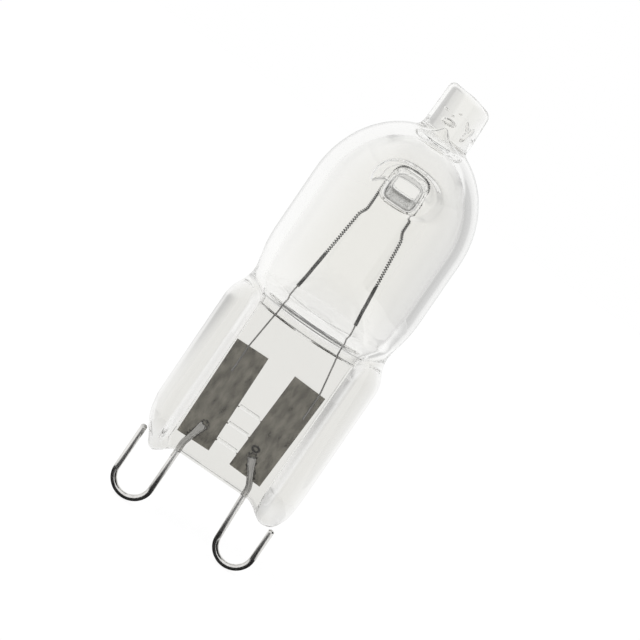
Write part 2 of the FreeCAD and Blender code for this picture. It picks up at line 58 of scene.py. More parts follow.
class Side(Enum):
    """The bulb's two halves, as seen from the front."""

    LEFT = -1
    RIGHT = 1

    @property
    def word(self) -> str:
        """The side's name as the pieces carry it."""
        return self.name.lower()


class Facing(Enum):
    """Which way a glass skin looks: out of the bulb, or into its gas space."""

    OUTWARDS = 1
    INWARDS = -1


def ease(low: float, high: float, value: np.ndarray) -> np.ndarray:
    """Rise smoothly from 0 to 1 as a value goes from low to high.

    Args:
        low: Where the rise starts.
        high: Where it ends.
        value: The values to place on it.

    Returns:
        The share of the rise at each value.
    """
    share = np.clip((np.asarray(value, dtype=float) - low) / (high - low), 0.0, 1.0)
    return share * share * (3.0 - 2.0 * share)


def through(points: Sequence[Span]) -> Curve:
    """Make a smooth curve through points that doesn't overshoot between them.

    Args:
        points: Places and values, with the places rising.

    Returns:
        A function that gives the curve's value at each place.
    """
    at, value = (np.array(column, dtype=float) for column in zip(*points))
    step = np.diff(at)
    slope = np.diff(value) / step
    lean = np.zeros_like(value)
    lean[0], lean[-1] = slope[0], slope[-1]
    for i in range(1, len(at) - 1):
        if slope[i - 1] * slope[i] > 0:
            first, second = 2 * step[i] + step[i - 1], step[i] + 2 * step[i - 1]
            lean[i] = (first + second) / (first / slope[i - 1] + second / slope[i])

    def curve(place: np.ndarray) -> np.ndarray:
        """Give the curve's value.

        Args:
            place: The places.

        Returns:
            The value at each place.
        """
        place = np.clip(np.asarray(place, dtype=float), at[0], at[-1])
        i = np.clip(np.searchsorted(at, place, side="right") - 1, 0, len(step) - 1)
        t = (place - at[i]) / step[i]
        return (
            value[i] * (1 + 2 * t) * (1 - t) ** 2
            + lean[i] * step[i] * t * (1 - t) ** 2
            + value[i + 1] * t * t * (3 - 2 * t)
            + lean[i + 1] * step[i] * t * t * (t - 1)
        )

    return curve


@dataclass
class Draft:
    """A mesh being drawn: its points in millimetres and its faces."""

    points: list[Triple] = field(default_factory=list)
    faces: list[tuple[int, ...]] = field(default_factory=list)

    def add(self, points: np.ndarray) -> np.ndarray:
        """Add points.

        Args:
            points: An array with a row of x, y, z for each point.

        Returns:
            The new points' numbers.
        """
        start = len(self.points)
        self.points.extend(map(tuple, points.tolist()))
        return np.arange(start, start + len(points))

    def skin(self, lower: np.ndarray, upper: np.ndarray, closed: bool = True) -> None:
        """Join two rows of points by four-sided faces.

        Args:
            lower: The first row's numbers.
            upper: The second row's numbers, as many.
            closed: Whether the rows are rings.
        """
        count = len(lower)
        for i in range(count if closed else count - 1):
            j = (i + 1) % count
            self.faces.append((int(lower[i]), int(lower[j]), int(upper[j]), int(upper[i])))

    def fan(self, ring: np.ndarray, centre: np.ndarray, upwards: bool) -> None:
        """Close a ring with triangles to a middle point.

        Args:
            ring: The ring's numbers.
            centre: The middle point.
            upwards: Whether the ring is the last of its skin and not the first.
        """
        middle = int(self.add(centre.reshape(1, 3))[0])
        count = len(ring)
        for i in range(count):
            a, b = int(ring[i]), int(ring[(i + 1) % count])
            self.faces.append((a, b, middle) if upwards else (b, a, middle))

    def piece(self, name: str, facing: Facing = Facing.OUTWARDS) -> bpy.types.Object:
        """Turn the draft into a smooth mesh object.

        Args:
            name: The object's name.
            facing: Which way its faces look.

        Returns:
            The new object, in the scene.
        """
        faces = self.faces if facing is Facing.OUTWARDS else [tuple(reversed(face)) for face in self.faces]
        mesh = bpy.data.meshes.new(name)
        mesh.from_pydata([(x * MM, y * MM, z * MM) for x, y, z in self.points], [], faces)
        mesh.validate()
        mesh.polygons.foreach_set("use_smooth", [True] * len(mesh.polygons))
        mesh.update()
        thing = bpy.data.objects.new(name, mesh)
        bpy.context.scene.collection.objects.link(thing)
        return thing


def seat(piece: bpy.types.Object, slot: str, *nodes: str) -> bpy.types.Object:
    """Let a piece ride on the bulb in place of CAD nodes.

    Args:
        piece: The piece.
        slot: The record's material slot; not used.
        nodes: The CAD nodes that it stands for.

    Returns:
        The same piece.
    """
    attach(piece, ROOT)
    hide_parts(*nodes)
    log.info("%s: %d faces", piece.name, len(piece.data.polygons))
    return piece


@dataclass
class NodeSheet:
    """A material's node tree with short ways to add and join nodes."""

    material: bpy.types.Material

    def __post_init__(self) -> None:
        """Clear the material's tree and give it an output."""
        self.material.use_nodes = True
        self.tree = self.material.node_tree
        self.tree.nodes.clear()
        self.output = self.tree.nodes.new("ShaderNodeOutputMaterial")

    def add(self, kind: str, **settings: object) -> Shader:
        """Add a node.

        Args:
            kind: The node's type without its ShaderNode prefix.
            settings: Its properties, or its sockets by name with spaces as underscores.

        Returns:
            The node.
        """
        node = self.tree.nodes.new("ShaderNode" + kind)
        for name, value in settings.items():
            socket = next((s for s in node.inputs if s.name.replace(" ", "_") == name), None)
            if socket is not None and not hasattr(type(node), name):
                socket.default_value = value
            else:
                setattr(node, name, value)
        return node

    def join(self, source: Shader, out: str | int, target: Shader, into: str | int) -> None:
        """Link one node's output to another's input."""
        self.tree.links.new(source.outputs[out], target.inputs[into])

    def ramp(self, source: Shader, out: str, stops: Sequence[tuple[float, Triple]]) -> Shader:
        """Add a colour ramp behind a node.

        Args:
            source: The node that drives it.
            out: The driving output.
            stops: Places from 0 to 1 with their colours.

        Returns:
            The ramp node.
        """
        ramp = self.add("ValToRGB")
        band = ramp.color_ramp
        while len(band.elements) < len(stops):
            band.elements.new(0.5)
        for element, (place, colour) in zip(band.elements, stops):
            element.position = place
            element.color = (*colour, 1.0)
        self.join(source, out, ramp, "Fac")
        return ramp

    def shares(self, source: Shader, out: str, stops: Sequence[Span]) -> Shader:
        """Add a ramp of greys behind a node, told by places from 0 to 1 with their shares of white."""
        return self.ramp(source, out, [(place, (share,) * 3) for place, share in stops])

    def edge_on(self, look: Shader, span: Span) -> Shader:
        """Add a rise from 0 to 1 as a surface turns edge-on between two shares of the way."""
        return self.shares(look, "Facing", ((span[0], 0.0), (span[1], 1.0)))

    def tinted(self, under: Shader, tint: Triple, share: Shader, out: str) -> Shader:
        """Mix a tint into a colour.

        Args:
            under: The node with the colour.
            tint: The tint.
            share: The node that tells how much of the tint shows.
            out: That node's output.

        Returns:
            The node with the mixed colour.
        """
        mix = self.add("MixRGB", Color2=(*tint, 1.0))
        self.join(share, out, mix, "Fac")
        self.join(under, "Color", mix, "Color1")
        return mix

    def relief(self, pattern: Shader, strength: float, height: float, shader: Shader) -> None:
        """Lay a noise pattern over a shader as fine relief.

        Args:
            pattern: The noise node.
            strength: How much of the relief shows.
            height: The relief's height in metres.
            shader: The shader node.
        """
        bump = self.add("Bump", Strength=strength, Distance=height)
        self.join(pattern, "Fac", bump, "Height")
        self.join(bump, "Normal", shader, "Normal")

    def parts(self, space: str) -> Shader:
        """Add a place's X, Y and Z.

        Args:
            space: The texture coordinate that tells the place.

        Returns:
            The node that gives the parts.
        """
        place = self.add("TexCoord")
        parts = self.add("SeparateXYZ")
        self.join(place, space, parts, "Vector")
        return parts

    def noise(self, scale: float, stretch: Triple, detail: float) -> Shader:
        """Add noise laid over the object in metres.

        Args:
            scale: How many features fit a metre.
            stretch: The pattern's scale along X, Y and Z.
            detail: Its octaves.

        Returns:
            The noise node.
        """
        place = self.add("TexCoord")
        mapping = self.add("Mapping", Scale=stretch)
        noise = self.add("TexNoise", Scale=scale, Detail=detail)
        self.join(place, "Object", mapping, "Vector")
        self.join(mapping, "Vector", noise, "Vector")
        return noise

    def climb(self, parts: Shader, low: float, high: float) -> Shader:
        """Add a rise from 0 to 1 between two heights.

        Args:
            parts: The node that gives the place's X, Y and Z.
            low: The height in millimetres where the rise starts.
            high: The height where it ends.

        Returns:
            The node with the rise as its Result.
        """
        rise = self.add("MapRange")
        rise.inputs["From Min"].default_value = low * MM
        rise.inputs["From Max"].default_value = high * MM
        self.join(parts, "Z", rise, "Value")
        return rise

    def near_middle(self, parts: Shader, axis: str, full: float, reach: float) -> Shader:
        """Add a fall from 1 to 0 on both sides of the middle.

        Args:
            parts: The node that gives the place's X, Y and Z.
            axis: The axis to fall along.
            full: The distance in millimetres where the fall starts.
            reach: The distance where it ends.

        Returns:
            The node with the fall as its Result.
        """
        away = self.add("Math", operation="ABSOLUTE")
        self.join(parts, axis, away, 0)
        fall = self.add("MapRange")
        fall.inputs["From Min"].default_value = reach * MM
        fall.inputs["From Max"].default_value = full * MM
        self.join(away, "Value", fall, "Value")
        return fall

    def product(self, *factors: tuple[Shader, str]) -> Shader:
        """Multiply nodes' outputs together.

        Args:
            factors: The nodes, each with the name of its output.

        Returns:
            The node with the product as its first output.
        """
        (last, out), *rest = factors
        for node, name in rest:
            times = self.add("Math", operation="MULTIPLY")
            self.join(last, out, times, 0)
            self.join(node, name, times, 1)
            last, out = times, "Value"
        return last

    def finish(self, shader: Shader) -> bpy.types.Material:
        """Join the shader to the output and return the material."""
        self.join(shader, 0, self.output, "Surface")
        return self.material


@dataclass(frozen=True)
class PaintedGrazingShade:
    """A zone of the glass, in millimetres, where painted shade darkens its colour as it turns edge-on; with a
    light tint it paints light instead.
    """

    tint: Triple
    foot: Span
    top: Span
    side: Span
    slant: Span
    depth_shares: Profile = ((0.0, 1.0), (1.0, 1.0))
    depth_reach: float = 6.5

    def lay(self, sheet: NodeSheet, parts: Shader, look: Shader, under: Shader) -> Shader:
        """Lay the painted shade over a colour.

        Args:
            sheet: The material's nodes.
            parts: The node that gives the place's X, Y and Z.
            look: The node that tells how edge-on the glass is.
            under: The node with the colour below.

        Returns:
            The node with the shaded colour.
        """
        wall = sheet.edge_on(look, self.slant)
        inwards = sheet.near_middle(parts, "Y", 0.0, self.depth_reach)
        deep = sheet.shares(inwards, "Result", self.depth_shares)
        zone = sheet.product(
            (wall, "Color"), (deep, "Color"), (sheet.climb(parts, *self.foot), "Result"),
            (sheet.climb(parts, *reversed(self.top)), "Result"),
            (sheet.near_middle(parts, "X", *self.side), "Result"),
        )
        return sheet.tinted(under, self.tint, zone, "Value")


@dataclass(frozen=True)
class QuartzFinish:
    """Clear fire-polished quartz, greyer where it is pressed thick, with painted shade where it turns
    edge-on: a faint grey and thin grey outlines.
    """

    name: str
    pinch_tint: Triple
    bulb_tint: Triple
    # Painted shade: a faint grey laid on as the glass turns edge-on.
    painted_side_shade: Triple = (0.985, 0.985, 0.982)
    side_slant: Span = (0.02, 0.45)
    # Painted shade: the grey of the outlines, laid on where the glass is nearly edge-on.
    painted_outline_shade: Triple = (0.14, 0.14, 0.135)
    outline_slant: Span = (0.74, 0.95)
    pinch_top: float = 11.8
    bulb_foot: float = 13.6
    outline_foot: float = 14.8
    outline_full: float = 16.4
    outline_least: float = 0.3
    index: float = 1.458
    ripple: float = 0.03
    ripple_height: float = 0.0002
    ripple_scale: float = 260.0
    ripple_stretch: Triple = (1.0, 1.0, 0.35)
    ripple_detail: float = 1.5
    painted_shades: tuple[PaintedGrazingShade, ...] = ()

    def material(self) -> bpy.types.Material:
        """Make the material.

        Returns:
            The material, whose tint follows the place, with painted shade where the glass turns edge-on.
        """
        sheet = NodeSheet(bpy.data.materials.new(self.name))
        glass = sheet.add("BsdfPrincipled", Roughness=0.0, IOR=self.index, Transmission_Weight=1.0)
        parts = sheet.parts("Object")
        climb = sheet.climb(parts, self.pinch_top, self.bulb_foot)
        face = sheet.ramp(climb, "Result", [(0.0, self.pinch_tint), (1.0, self.bulb_tint)])
        look = sheet.add("LayerWeight", Blend=0.5)
        # Painted shade: grey as the glass turns edge-on, and darker outlines at its edges, fainter below the
        # outline's foot.
        body = sheet.tinted(face, self.painted_side_shade, sheet.edge_on(look, self.side_slant), "Color")
        above = sheet.climb(parts, self.outline_foot, self.outline_full)
        above.inputs["To Min"].default_value = self.outline_least
        line = sheet.product((sheet.edge_on(look, self.outline_slant), "Color"), (above, "Result"))
        tint = sheet.tinted(body, self.painted_outline_shade, line, "Value")
        # Painted zones of shade and light laid over the glass's colour.
        for shade in self.painted_shades:
            tint = shade.lay(sheet, parts, look, tint)
        sheet.join(tint, "Color", glass, "Base Color")
        wave = sheet.noise(self.ripple_scale, self.ripple_stretch, self.ripple_detail)
        sheet.relief(wave, self.ripple, self.ripple_height, glass)
        return sheet.finish(glass)


# Painted shade on the glass at the pits, the post, the slot, the neck and the bubbles, and painted light at
# the tip's root (ROOT_LIGHT).
PIT_SHADE = PaintedGrazingShade((0.012, 0.012, 0.011), (22.6, 23.1), (27.6, 28.3), (3.0, 3.4), (0.36, 0.78),
                         ((0.0, 1.0), (0.2, 1.0), (0.32, 0.4), (0.5, 0.4), (0.8, 1.0)))
POST_SHADE = PaintedGrazingShade((0.012, 0.012, 0.011), (22.6, 23.1), (27.6, 28.3), (3.0, 3.4), (0.5, 0.84))
SLOT_SHADE = PaintedGrazingShade((0.02, 0.02, 0.019), (11.0, 11.5), (12.5, 12.9), (4.0, 4.6), (0.3, 0.75))
NECK_SHADE = PaintedGrazingShade((0.3, 0.3, 0.295), (13.1, 13.2), (13.35, 13.5), (4.0, 4.8), (0.1, 0.3))
ROOT_LIGHT = PaintedGrazingShade((0.93, 0.93, 0.92), (27.9, 28.3), (30.0, 30.3), (1.75, 2.0), (0.5, 0.74))
BUBBLE_SHADE = PaintedGrazingShade((0.1, 0.1, 0.097), (30.35, 30.42), (32.2, 32.6), (2.0, 2.2), (0.55, 0.85))
OUTER_QUARTZ = QuartzFinish("clear_quartz", (0.765, 0.758, 0.728), (0.84, 0.834, 0.802),
                            painted_shades=(PIT_SHADE, ROOT_LIGHT))
INNER_QUARTZ = QuartzFinish("clear_quartz_inside", (0.97, 0.97, 0.96), (0.965, 0.962, 0.95),
                            painted_outline_shade=(0.93, 0.93, 0.92),
                            painted_shades=(POST_SHADE, SLOT_SHADE, NECK_SHADE, BUBBLE_SHADE))


@dataclass(frozen=True)
class MetalFinish:
    """A metal with fine drawn or rolled streaks in its colour and gloss, and painted shade that darkens its
    colour above a given height.
    """

    name: str
    dark: Triple
    light: Triple
    roughness: Span
    streak_scale: float
    streak_stretch: Triple
    relief: float
    # Painted shade: the colour's share above the span's heights, where the pin lies inside the glass.
    painted_inner_shade: float = 1.0
    painted_shade_span: Span = (-0.2, 0.5)
    streak_detail: float = 4.0
    colour_span: Span = (0.32, 0.68)
    gloss_span: Span = (0.3, 0.7)
    relief_height: float = 0.00005

    def material(self) -> bpy.types.Material:
        """Make the material.

        Returns:
            The material, with streaks in its colour, gloss and relief.
        """
        sheet = NodeSheet(bpy.data.materials.new(self.name))
        metal = sheet.add("BsdfPrincipled", Metallic=1.0)
        streak = sheet.noise(self.streak_scale, self.streak_stretch, self.streak_detail)
        colour = sheet.ramp(streak, "Fac", list(zip(self.colour_span, (self.dark, self.light))))
        # Painted shade: the colour darkens from the span's foot to its top and stays dark above it.
        climb = sheet.climb(sheet.parts("Object"), *self.painted_shade_span)
        inner_shade = sheet.shares(climb, "Result", ((0.0, 1.0), (1.0, self.painted_inner_shade)))
        shaded_colour = sheet.add("MixRGB", blend_type="MULTIPLY", Fac=1.0)
        sheet.join(colour, "Color", shaded_colour, "Color1")
        sheet.join(inner_shade, "Color", shaded_colour, "Color2")
        sheet.join(shaded_colour, "Color", metal, "Base Color")
        gloss = sheet.shares(streak, "Fac", list(zip(self.gloss_span, self.roughness)))
        sheet.join(gloss, "Color", metal, "Roughness")
        sheet.relief(streak, self.relief, self.relief_height, metal)
        return sheet.finish(metal)


# The pin's last number paints shade on its part inside the glass.
PIN_FINISH = MetalFinish("bright_pin_wire", (0.62, 0.61, 0.59), (0.86, 0.85, 0.83), (0.10, 0.22), 900.0,
                         (4.0, 4.0, 0.25), 0.12, 0.5)
COIL_FINISH = MetalFinish("grey_tungsten", (0.07, 0.07, 0.07), (0.17, 0.168, 0.165), (0.30, 0.45), 3000.0,
                          (1.0, 1.0, 1.0), 0.1)
LEAD_FINISH = MetalFinish("grey_lead_wire", (0.18, 0.18, 0.18), (0.36, 0.35, 0.34), (0.28, 0.42), 2500.0,
                          (1.0, 1.0, 0.2), 0.1)
FOIL_FINISH = MetalFinish("grey_brown_foil", (0.10, 0.094, 0.08), (0.27, 0.256, 0.22), (0.26, 0.46), 1150.0,
                          (1.7, 1.0, 0.8), 0.9)
# Painted shadow: a dark foil finish beside the pin's weld and on the spot weld's ring.
WELD_SHADOW_FINISH = MetalFinish("scorched_foil", (0.02, 0.019, 0.017), (0.07, 0.066, 0.058), (0.3, 0.5), 2600.0,
                            (1.0, 1.0, 1.0), 0.6)


@dataclass
class Girth:
    """How the glass's upright lines are spread round a quarter of its girth, closest over the dimples."""

    dimple_reach: float = 3.3
    wall_start: float = 0.9
    wall_end: float = 2.0
    floor_lines: int = 6
    wall_lines: int = 32
    flare_lines: int = 18
    web_edge: float = 4.0
    web_lines: int = 5
    ramp_edge: float = 4.85
    ramp_lines: int = 10
    rail_lines: int = 15
    bulb_radius: float = 6.3
    rail_squareness: float = 2.7
    least_rail: float = 0.9

    def __post_init__(self) -> None:
        """Spread the lines over the flat, the ramp and the rail, and over a round section."""
        dimple_lines = self.floor_lines + self.wall_lines + self.flare_lines
        self.flat = np.concatenate([
            np.linspace(0.0, self.wall_start, self.floor_lines + 1),
            np.linspace(self.wall_start, self.wall_end, self.wall_lines + 1)[1:],
            np.linspace(self.wall_end, self.dimple_reach, self.flare_lines + 1)[1:],
            np.linspace(self.dimple_reach, self.web_edge, self.web_lines + 1)[1:],
            np.linspace(self.web_edge, self.ramp_edge, self.ramp_lines + 1)[1:],
        ])
        self.turn = np.linspace(0.0, math.pi / 2, self.rail_lines + 1)[1:]
        inner = np.arcsin(self.flat[: dimple_lines + 1] / self.bulb_radius)
        rest = self.web_lines + self.ramp_lines + self.rail_lines
        self.angle = np.concatenate([inner, np.linspace(inner[-1], math.pi / 2, rest + 1)[1:]])
        self.quarter = len(self.angle) - 1

    def oval(self, half_width: float, half_depth: float,
             squareness: float = 2.0) -> tuple[np.ndarray, np.ndarray]:
        """A quarter of an oval section.

        Args:
            half_width: Its half width.
            half_depth: Its half depth.
            squareness: 2 for a plain oval, more for one with fuller ends.

        Returns:
            The lines' x and their depth, both positive.
        """
        across = np.sin(self.angle)
        return half_width * across, half_depth * np.clip(1 - across**squareness, 0.0, 1.0) ** (1 / squareness)

    def pressed(self, half_width: float, web: float, rail: float) -> tuple[np.ndarray, np.ndarray]:
        """A quarter of the pinch's section: a thin flat, a ramp and a rounded rail.

        Args:
            half_width: The pinch's half width.
            web: Half the flat's thickness.
            rail: Half the rail's thickness.

        Returns:
            The lines' x and their depth, both positive.
        """
        power = 2.0 / self.rail_squareness
        brow = min(self.ramp_edge, half_width - self.least_rail)
        reach = half_width - brow
        x = np.concatenate([self.flat * (brow / self.ramp_edge), brow + reach * np.sin(self.turn) ** power])
        flat = web + (rail - web) * ease(self.web_edge, self.ramp_edge, self.flat)
        depth = np.concatenate([flat, rail * np.clip(np.cos(self.turn), 0.0, 1.0) ** power])
        return x, depth

    def ring(self, x: np.ndarray, depth: np.ndarray, left_x: np.ndarray | None = None,
             left_depth: np.ndarray | None = None) -> tuple[np.ndarray, np.ndarray]:
        """Reflect quarter sections into a whole ring, from the front's middle round by the right.

        Args:
            x: The right quarter's x.
            depth: The right quarter's depth.
            left_x: The left quarter's x, if it differs.
            left_depth: The left quarter's depth, if it differs.

        Returns:
            The ring's x and y.
        """
        left_x = x if left_x is None else left_x
        left_depth = depth if left_depth is None else left_depth
        back = slice(-2, None, -1)
        ring_x = np.concatenate([x, x[back], -left_x[1:], -left_x[-2:0:-1]])
        ring_y = np.concatenate([-depth, depth[back], left_depth[1:], -left_depth[-2:0:-1]])
        return ring_x, ring_y


@dataclass(frozen=True)
class RoundBar:
    """An upright section with rounded corners, told by its reach each way and how square it is."""

    left: float
    right: float
    rise: float
    drop: float
    squareness_above: float
    squareness_below: float

    def mixed(self, other: "RoundBar", share: np.ndarray) -> tuple[np.ndarray, ...]:
        """The sizes part of the way to another section.

        Args:
            other: The other section.
            share: How far along, from 0 to 1.

        Returns:
            The six sizes in order.
        """
        return tuple(a + (b - a) * share for a, b in zip(astuple(self), astuple(other)))


@dataclass
class Dimple:
    """The pits pressed into the capsule from both sides, and the post that they leave in the gas space.

    A pit runs from its floor up a steep wall to its rim, over a shelf and out at a collar.
    """

    height: float = 25.2
    floor: float = 0.35
    pit: tuple[RoundBar, ...] = (
        RoundBar(0.97, 0.97, 0.5, 0.5, 5.0, 5.0),
        RoundBar(1.12, 1.12, 1.04, 1.04, 3.0, 4.6),
        RoundBar(2.5, 2.2, 1.75, 1.35, 2.3, 2.2),
        RoundBar(2.7, 3.4, 2.1, 1.6, 2.2, 2.0),
    )
    pit_depth: Profile = (
        (0.0, 1.0), (1.0, 0.16), (1.1, 0.04), (1.25, 0.0), (3.0, 0.0),
    )
    collar_depth: Profile = (
        (0.0, 0.0), (0.95, 0.0), (1.2, 0.08), (2.0, 0.08), (2.35, 0.045), (2.7, 0.008), (3.0, 0.0),
    )
    horn_start: float = 1.7
    horn_lean: float = 19.0
    horn_blend: float = 3.0
    right_limit: float = 55.0
    right_blend: float = 25.0
    right_ebb: float = 0.5
    right_ebb_span: Span = (-30.0, 20.0)
    post: tuple[RoundBar, ...] = (
        RoundBar(1.36, 1.36, 1.3, 1.3, 2.7, 5.0), RoundBar(1.42, 1.42, 1.36, 1.35, 2.7, 4.8),
    )
    root_depth: Profile = ((0.0, 1.0), (0.35, 0.3), (1.0, 0.0))
    halvings: int = 26

    def level(self, x: np.ndarray, z: np.ndarray, bars: Sequence[RoundBar]) -> np.ndarray:
        """Where points lie between nested sections, by halving the span until it is found.

        Args:
            x: The points' x.
            z: The points' z.
            bars: The sections, from the innermost outwards.

        Returns:
            0 inside the first section, 1 on the second and so on, up to the last one's number.
        """
        x, z = np.broadcast_arrays(np.asarray(x, dtype=float), np.asarray(z, dtype=float) - self.height)
        low, high = np.zeros_like(x), np.full_like(x, len(bars) - 1.0)
        for _ in range(self.halvings):
            middle = (low + high) / 2
            inside = self.inside(x, z, middle, bars)
            high = np.where(inside, middle, high)
            low = np.where(inside, low, middle)
        return (low + high) / 2

    def inside(self, x: np.ndarray, z: np.ndarray, level: np.ndarray, bars: Sequence[RoundBar]) -> np.ndarray:
        """Whether points lie inside the section at a level between nested sections.

        Args:
            x: The points' x.
            z: The points' height over the middle.
            level: The level at each point.
            bars: The sections, from the innermost outwards.

        Returns:
            True where a point lies inside.
        """
        answer = np.zeros(x.shape, dtype=bool)
        for i, (inner, outer) in enumerate(zip(bars, bars[1:])):
            left, right, rise, drop, above, below = inner.mixed(outer, np.clip(level - i, 0.0, 1.0))
            power = np.where(z > 0, above, below)
            size = (np.abs(x) / np.where(x < 0, left, right)) ** power
            size = size + (np.abs(z) / np.where(z > 0, rise, drop)) ** power
            answer = np.where((level >= i) & (level <= i + 1), size <= 1, answer)
        return answer

    def press_outside(self, x: np.ndarray, y: np.ndarray, z: np.ndarray) -> np.ndarray:
        """Press the outer skin in at the pits.

        Args:
            x: The points' x.
            y: The points' y.
            z: The points' z.

        Returns:
            The points' new y.
        """
        level = self.level(x, z, self.pit)
        share = through(self.pit_depth)(level) + through(self.collar_depth)(level) * self.collar(x, z)
        return y * (1 - share) + np.sign(y) * self.floor * share

    def collar(self, x: np.ndarray, z: np.ndarray) -> np.ndarray:
        """Where the collar is: above and beside the pit, running out below in a horn on its left.

        Args:
            x: The points' x.
            z: The points' z.

        Returns:
            1 on the collar, falling to 0 below it.
        """
        across, up = np.asarray(x, dtype=float), np.asarray(z, dtype=float) - self.height
        below = np.degrees(np.arctan2(-up, np.abs(across) + 1e-9))
        horn = self.horn_lean * np.clip(np.hypot(across, up) - self.horn_start, 0.0, None)
        limit = np.where(across < 0, horn, self.right_limit)
        width = np.where(across < 0, self.horn_blend, self.right_blend)
        share = np.clip((below - limit + width) / (2 * width), 0.0, 1.0)
        full = np.where(across < 0, 1.0, 1.0 - self.right_ebb * ease(*self.right_ebb_span, below))
        return full * (1 - share * share * (3 - 2 * share))

    def press_inside(self, x: np.ndarray, y: np.ndarray, z: np.ndarray) -> np.ndarray:
        """Press the gas space's skin in to the post.

        Args:
            x: The points' x.
            y: The points' y.
            z: The points' z.

        Returns:
            The points' new y.
        """
        level = self.level(x, z, self.post)
        share = np.where(level < 1e-6, 1.0, through(self.root_depth)(level))
        return y * (1 - share)

    def onto_post(self, x: float, z: float) -> Span:
        """Move a point near the post's outline onto it.

        Args:
            x: The point's x.
            z: The point's z.

        Returns:
            The point on the outline.
        """
        bar, up = self.post[0], z - self.height
        power = bar.squareness_above if up > 0 else bar.squareness_below
        reach = bar.rise if up > 0 else bar.drop
        size = ((abs(x) / bar.right) ** power + (abs(up) / reach) ** power) ** (1 / power)
        return x / size, self.height + up / size


@dataclass
class QuartzEnvelope:
    """The one glass piece: capsule, neck, pinch and exhaust tip outside, and the gas space inside."""

    girth: Girth = field(default_factory=Girth)
    dimple: Dimple = field(default_factory=Dimple)
    outer_finish: QuartzFinish = OUTER_QUARTZ
    inner_finish: QuartzFinish = INNER_QUARTZ
    wall: float = 1.0
    bulb_radius: float = 6.3
    web: float = 1.0
    rail: float = 2.2
    toe_rail: float = 1.2
    toe_rail_top: float = 1.6
    toe: float = -0.95
    toe_reach: Span = (4.7, 5.1)
    foot_lift: float = 0.95
    foot_lift_height: float = 2.85
    foot_flat: float = 3.1
    foot_round: float = 0.4
    neck_span: Span = (11.9, 14.4)
    dome_foot: float = 22.7
    dome_rise: float = 7.2
    dimple_span: Span = (23.5, 27.0)
    tip_offset: float = 0.2
    tip_offset_span: Span = (29.0, 30.2)
    tip_half_width: float = 1.98
    tip_half_depth: float = 1.75
    tip_taper: Span = (0.1, 0.38)
    tip_root: float = 2.32
    tip_root_draw: float = 0.02
    tip_root_rise: Span = (0.14, 0.45)
    tip_head: float = 33.3
    tip_head_round: float = 0.55
    tip_head_swell: float = 0.02
    tip_head_wave: float = 0.05
    tip_slant: float = 9.0
    slot_foot: float = 12.75
    slot_round: Span = (0.3, 0.35)
    slot_squareness: float = 5.6
    slot_square_span: Span = (12.5, 14.8)
    slot_sag: float = 0.3
    slot_sag_reach: float = 4.6
    slot_sag_span: Span = (12.4, 14.2)
    bore_mouth: float = 1.75
    bore_depth_share: float = 0.8
    bore: Profile = (
        (28.8, 1.4), (29.1, 1.08), (29.5, 0.74), (29.9, 0.42), (30.3, 0.1),
    )
    bubbles: tuple[tuple[Triple, Triple, float], ...] = (
        ((-0.1, 0.0, 30.78), (0.48, 0.4, 0.3), -4.0),
        ((1.2, -0.1, 30.75), (0.22, 0.3, 0.7), 16.0),
        ((0.92, 0.15, 31.2), (0.13, 0.2, 0.4), -24.0),
        ((-0.62, 0.1, 31.5), (0.2, 0.24, 0.12), 12.0),
        ((0.18, -0.15, 31.75), (0.16, 0.2, 0.1), -10.0),
        ((-0.1, 0.3, 31.3), (0.12, 0.12, 0.09), 0.0),
    )
    press_marks: tuple[float, ...] = (2.4, 3.86, 5.32)
    press_depth: float = 0.09
    press_width: float = 0.04
    press_reach: float = 0.112
    press_middle: float = -0.22
    press_ends: Span = (0.8, 0.95)

    def half_width(self, side: Side) -> Curve:
        """The outside's half width from a side's toe to the dome's foot.

        Args:
            side: The side, since the right toe is the squarer one.

        Returns:
            The half width at each height.
        """
        foot = {
            Side.LEFT: [(-0.95, 4.9), (-0.7, 5.14), (-0.05, 5.5), (0.2, 5.64), (0.6, 5.92), (1.2, 6.22),
                        (2.0, 6.46), (3.2, 6.6)],
            Side.RIGHT: [(-0.95, 5.42), (-0.75, 5.8), (-0.5, 6.05), (0.0, 6.32), (0.5, 6.46), (1.2, 6.55),
                         (2.4, 6.6)],
        }[side]
        return through(foot + [
            (11.6, 6.6), (12.3, 6.48), (12.9, 6.2), (13.4, 5.98), (13.9, 5.86), (14.3, 5.84), (14.9, 5.92),
            (15.6, 6.08), (16.4, 6.22), (17.6, 6.3), (23.0, 6.3),
        ])

    def half_depth(self) -> Curve:
        """The outside's half depth above the pinch.

        Returns:
            The half depth at each height.
        """
        return through([
            (-1.0, 1.5), (11.6, 1.5), (12.3, 1.85), (12.9, 2.4), (13.5, 3.1), (14.2, 3.95), (15.0, 4.75),
            (16.0, 5.55), (17.0, 6.08), (18.2, 6.3), (23.0, 6.3),
        ])

    def gas_half_width(self) -> Curve:
        """The gas space's half width from its slot to the dome's foot."""
        return through([(12.4, 4.25), (13.2, 4.45), (14.5, 4.8), (16.0, 5.14), (17.6, 5.3), (23.0, 5.3)])

    def gas_half_depth(self) -> Curve:
        """The gas space's half depth from its slot to the dome's foot.

        Returns:
            The half depth at each height.
        """
        return through([
            (12.4, 0.6), (12.8, 0.8), (13.4, 1.42), (14.2, 2.48), (15.0, 3.46), (16.0, 4.42), (17.0, 5.04),
            (18.2, 5.3), (23.0, 5.3),
        ])

    def heights(self) -> np.ndarray:
        """The heights of the outer skin's rings below the dome.

        Returns:
            The heights, closer at the marks, the foot and the neck.
        """
        steps = np.linspace(-self.press_reach, self.press_reach, 15)
        marks = [mark + step for mark in self.press_marks for step in steps]
        spans = ((self.toe + self.foot_round, 1.9, 14), (1.9, 11.4, 24), (11.4, 18.0, 48), (18.0, 21.6, 9),
                 (21.6, self.dome_foot, 13))
        levels = np.concatenate([
            self.toe + self.foot_round * (1 - np.cos(np.linspace(0, math.pi / 2, 8))),
            *(np.linspace(low, high, count)[1:] for low, high, count in spans),
            marks,
        ])
        levels = np.sort(levels)
        return levels[np.concatenate([[True], np.diff(levels) > 0.012])]

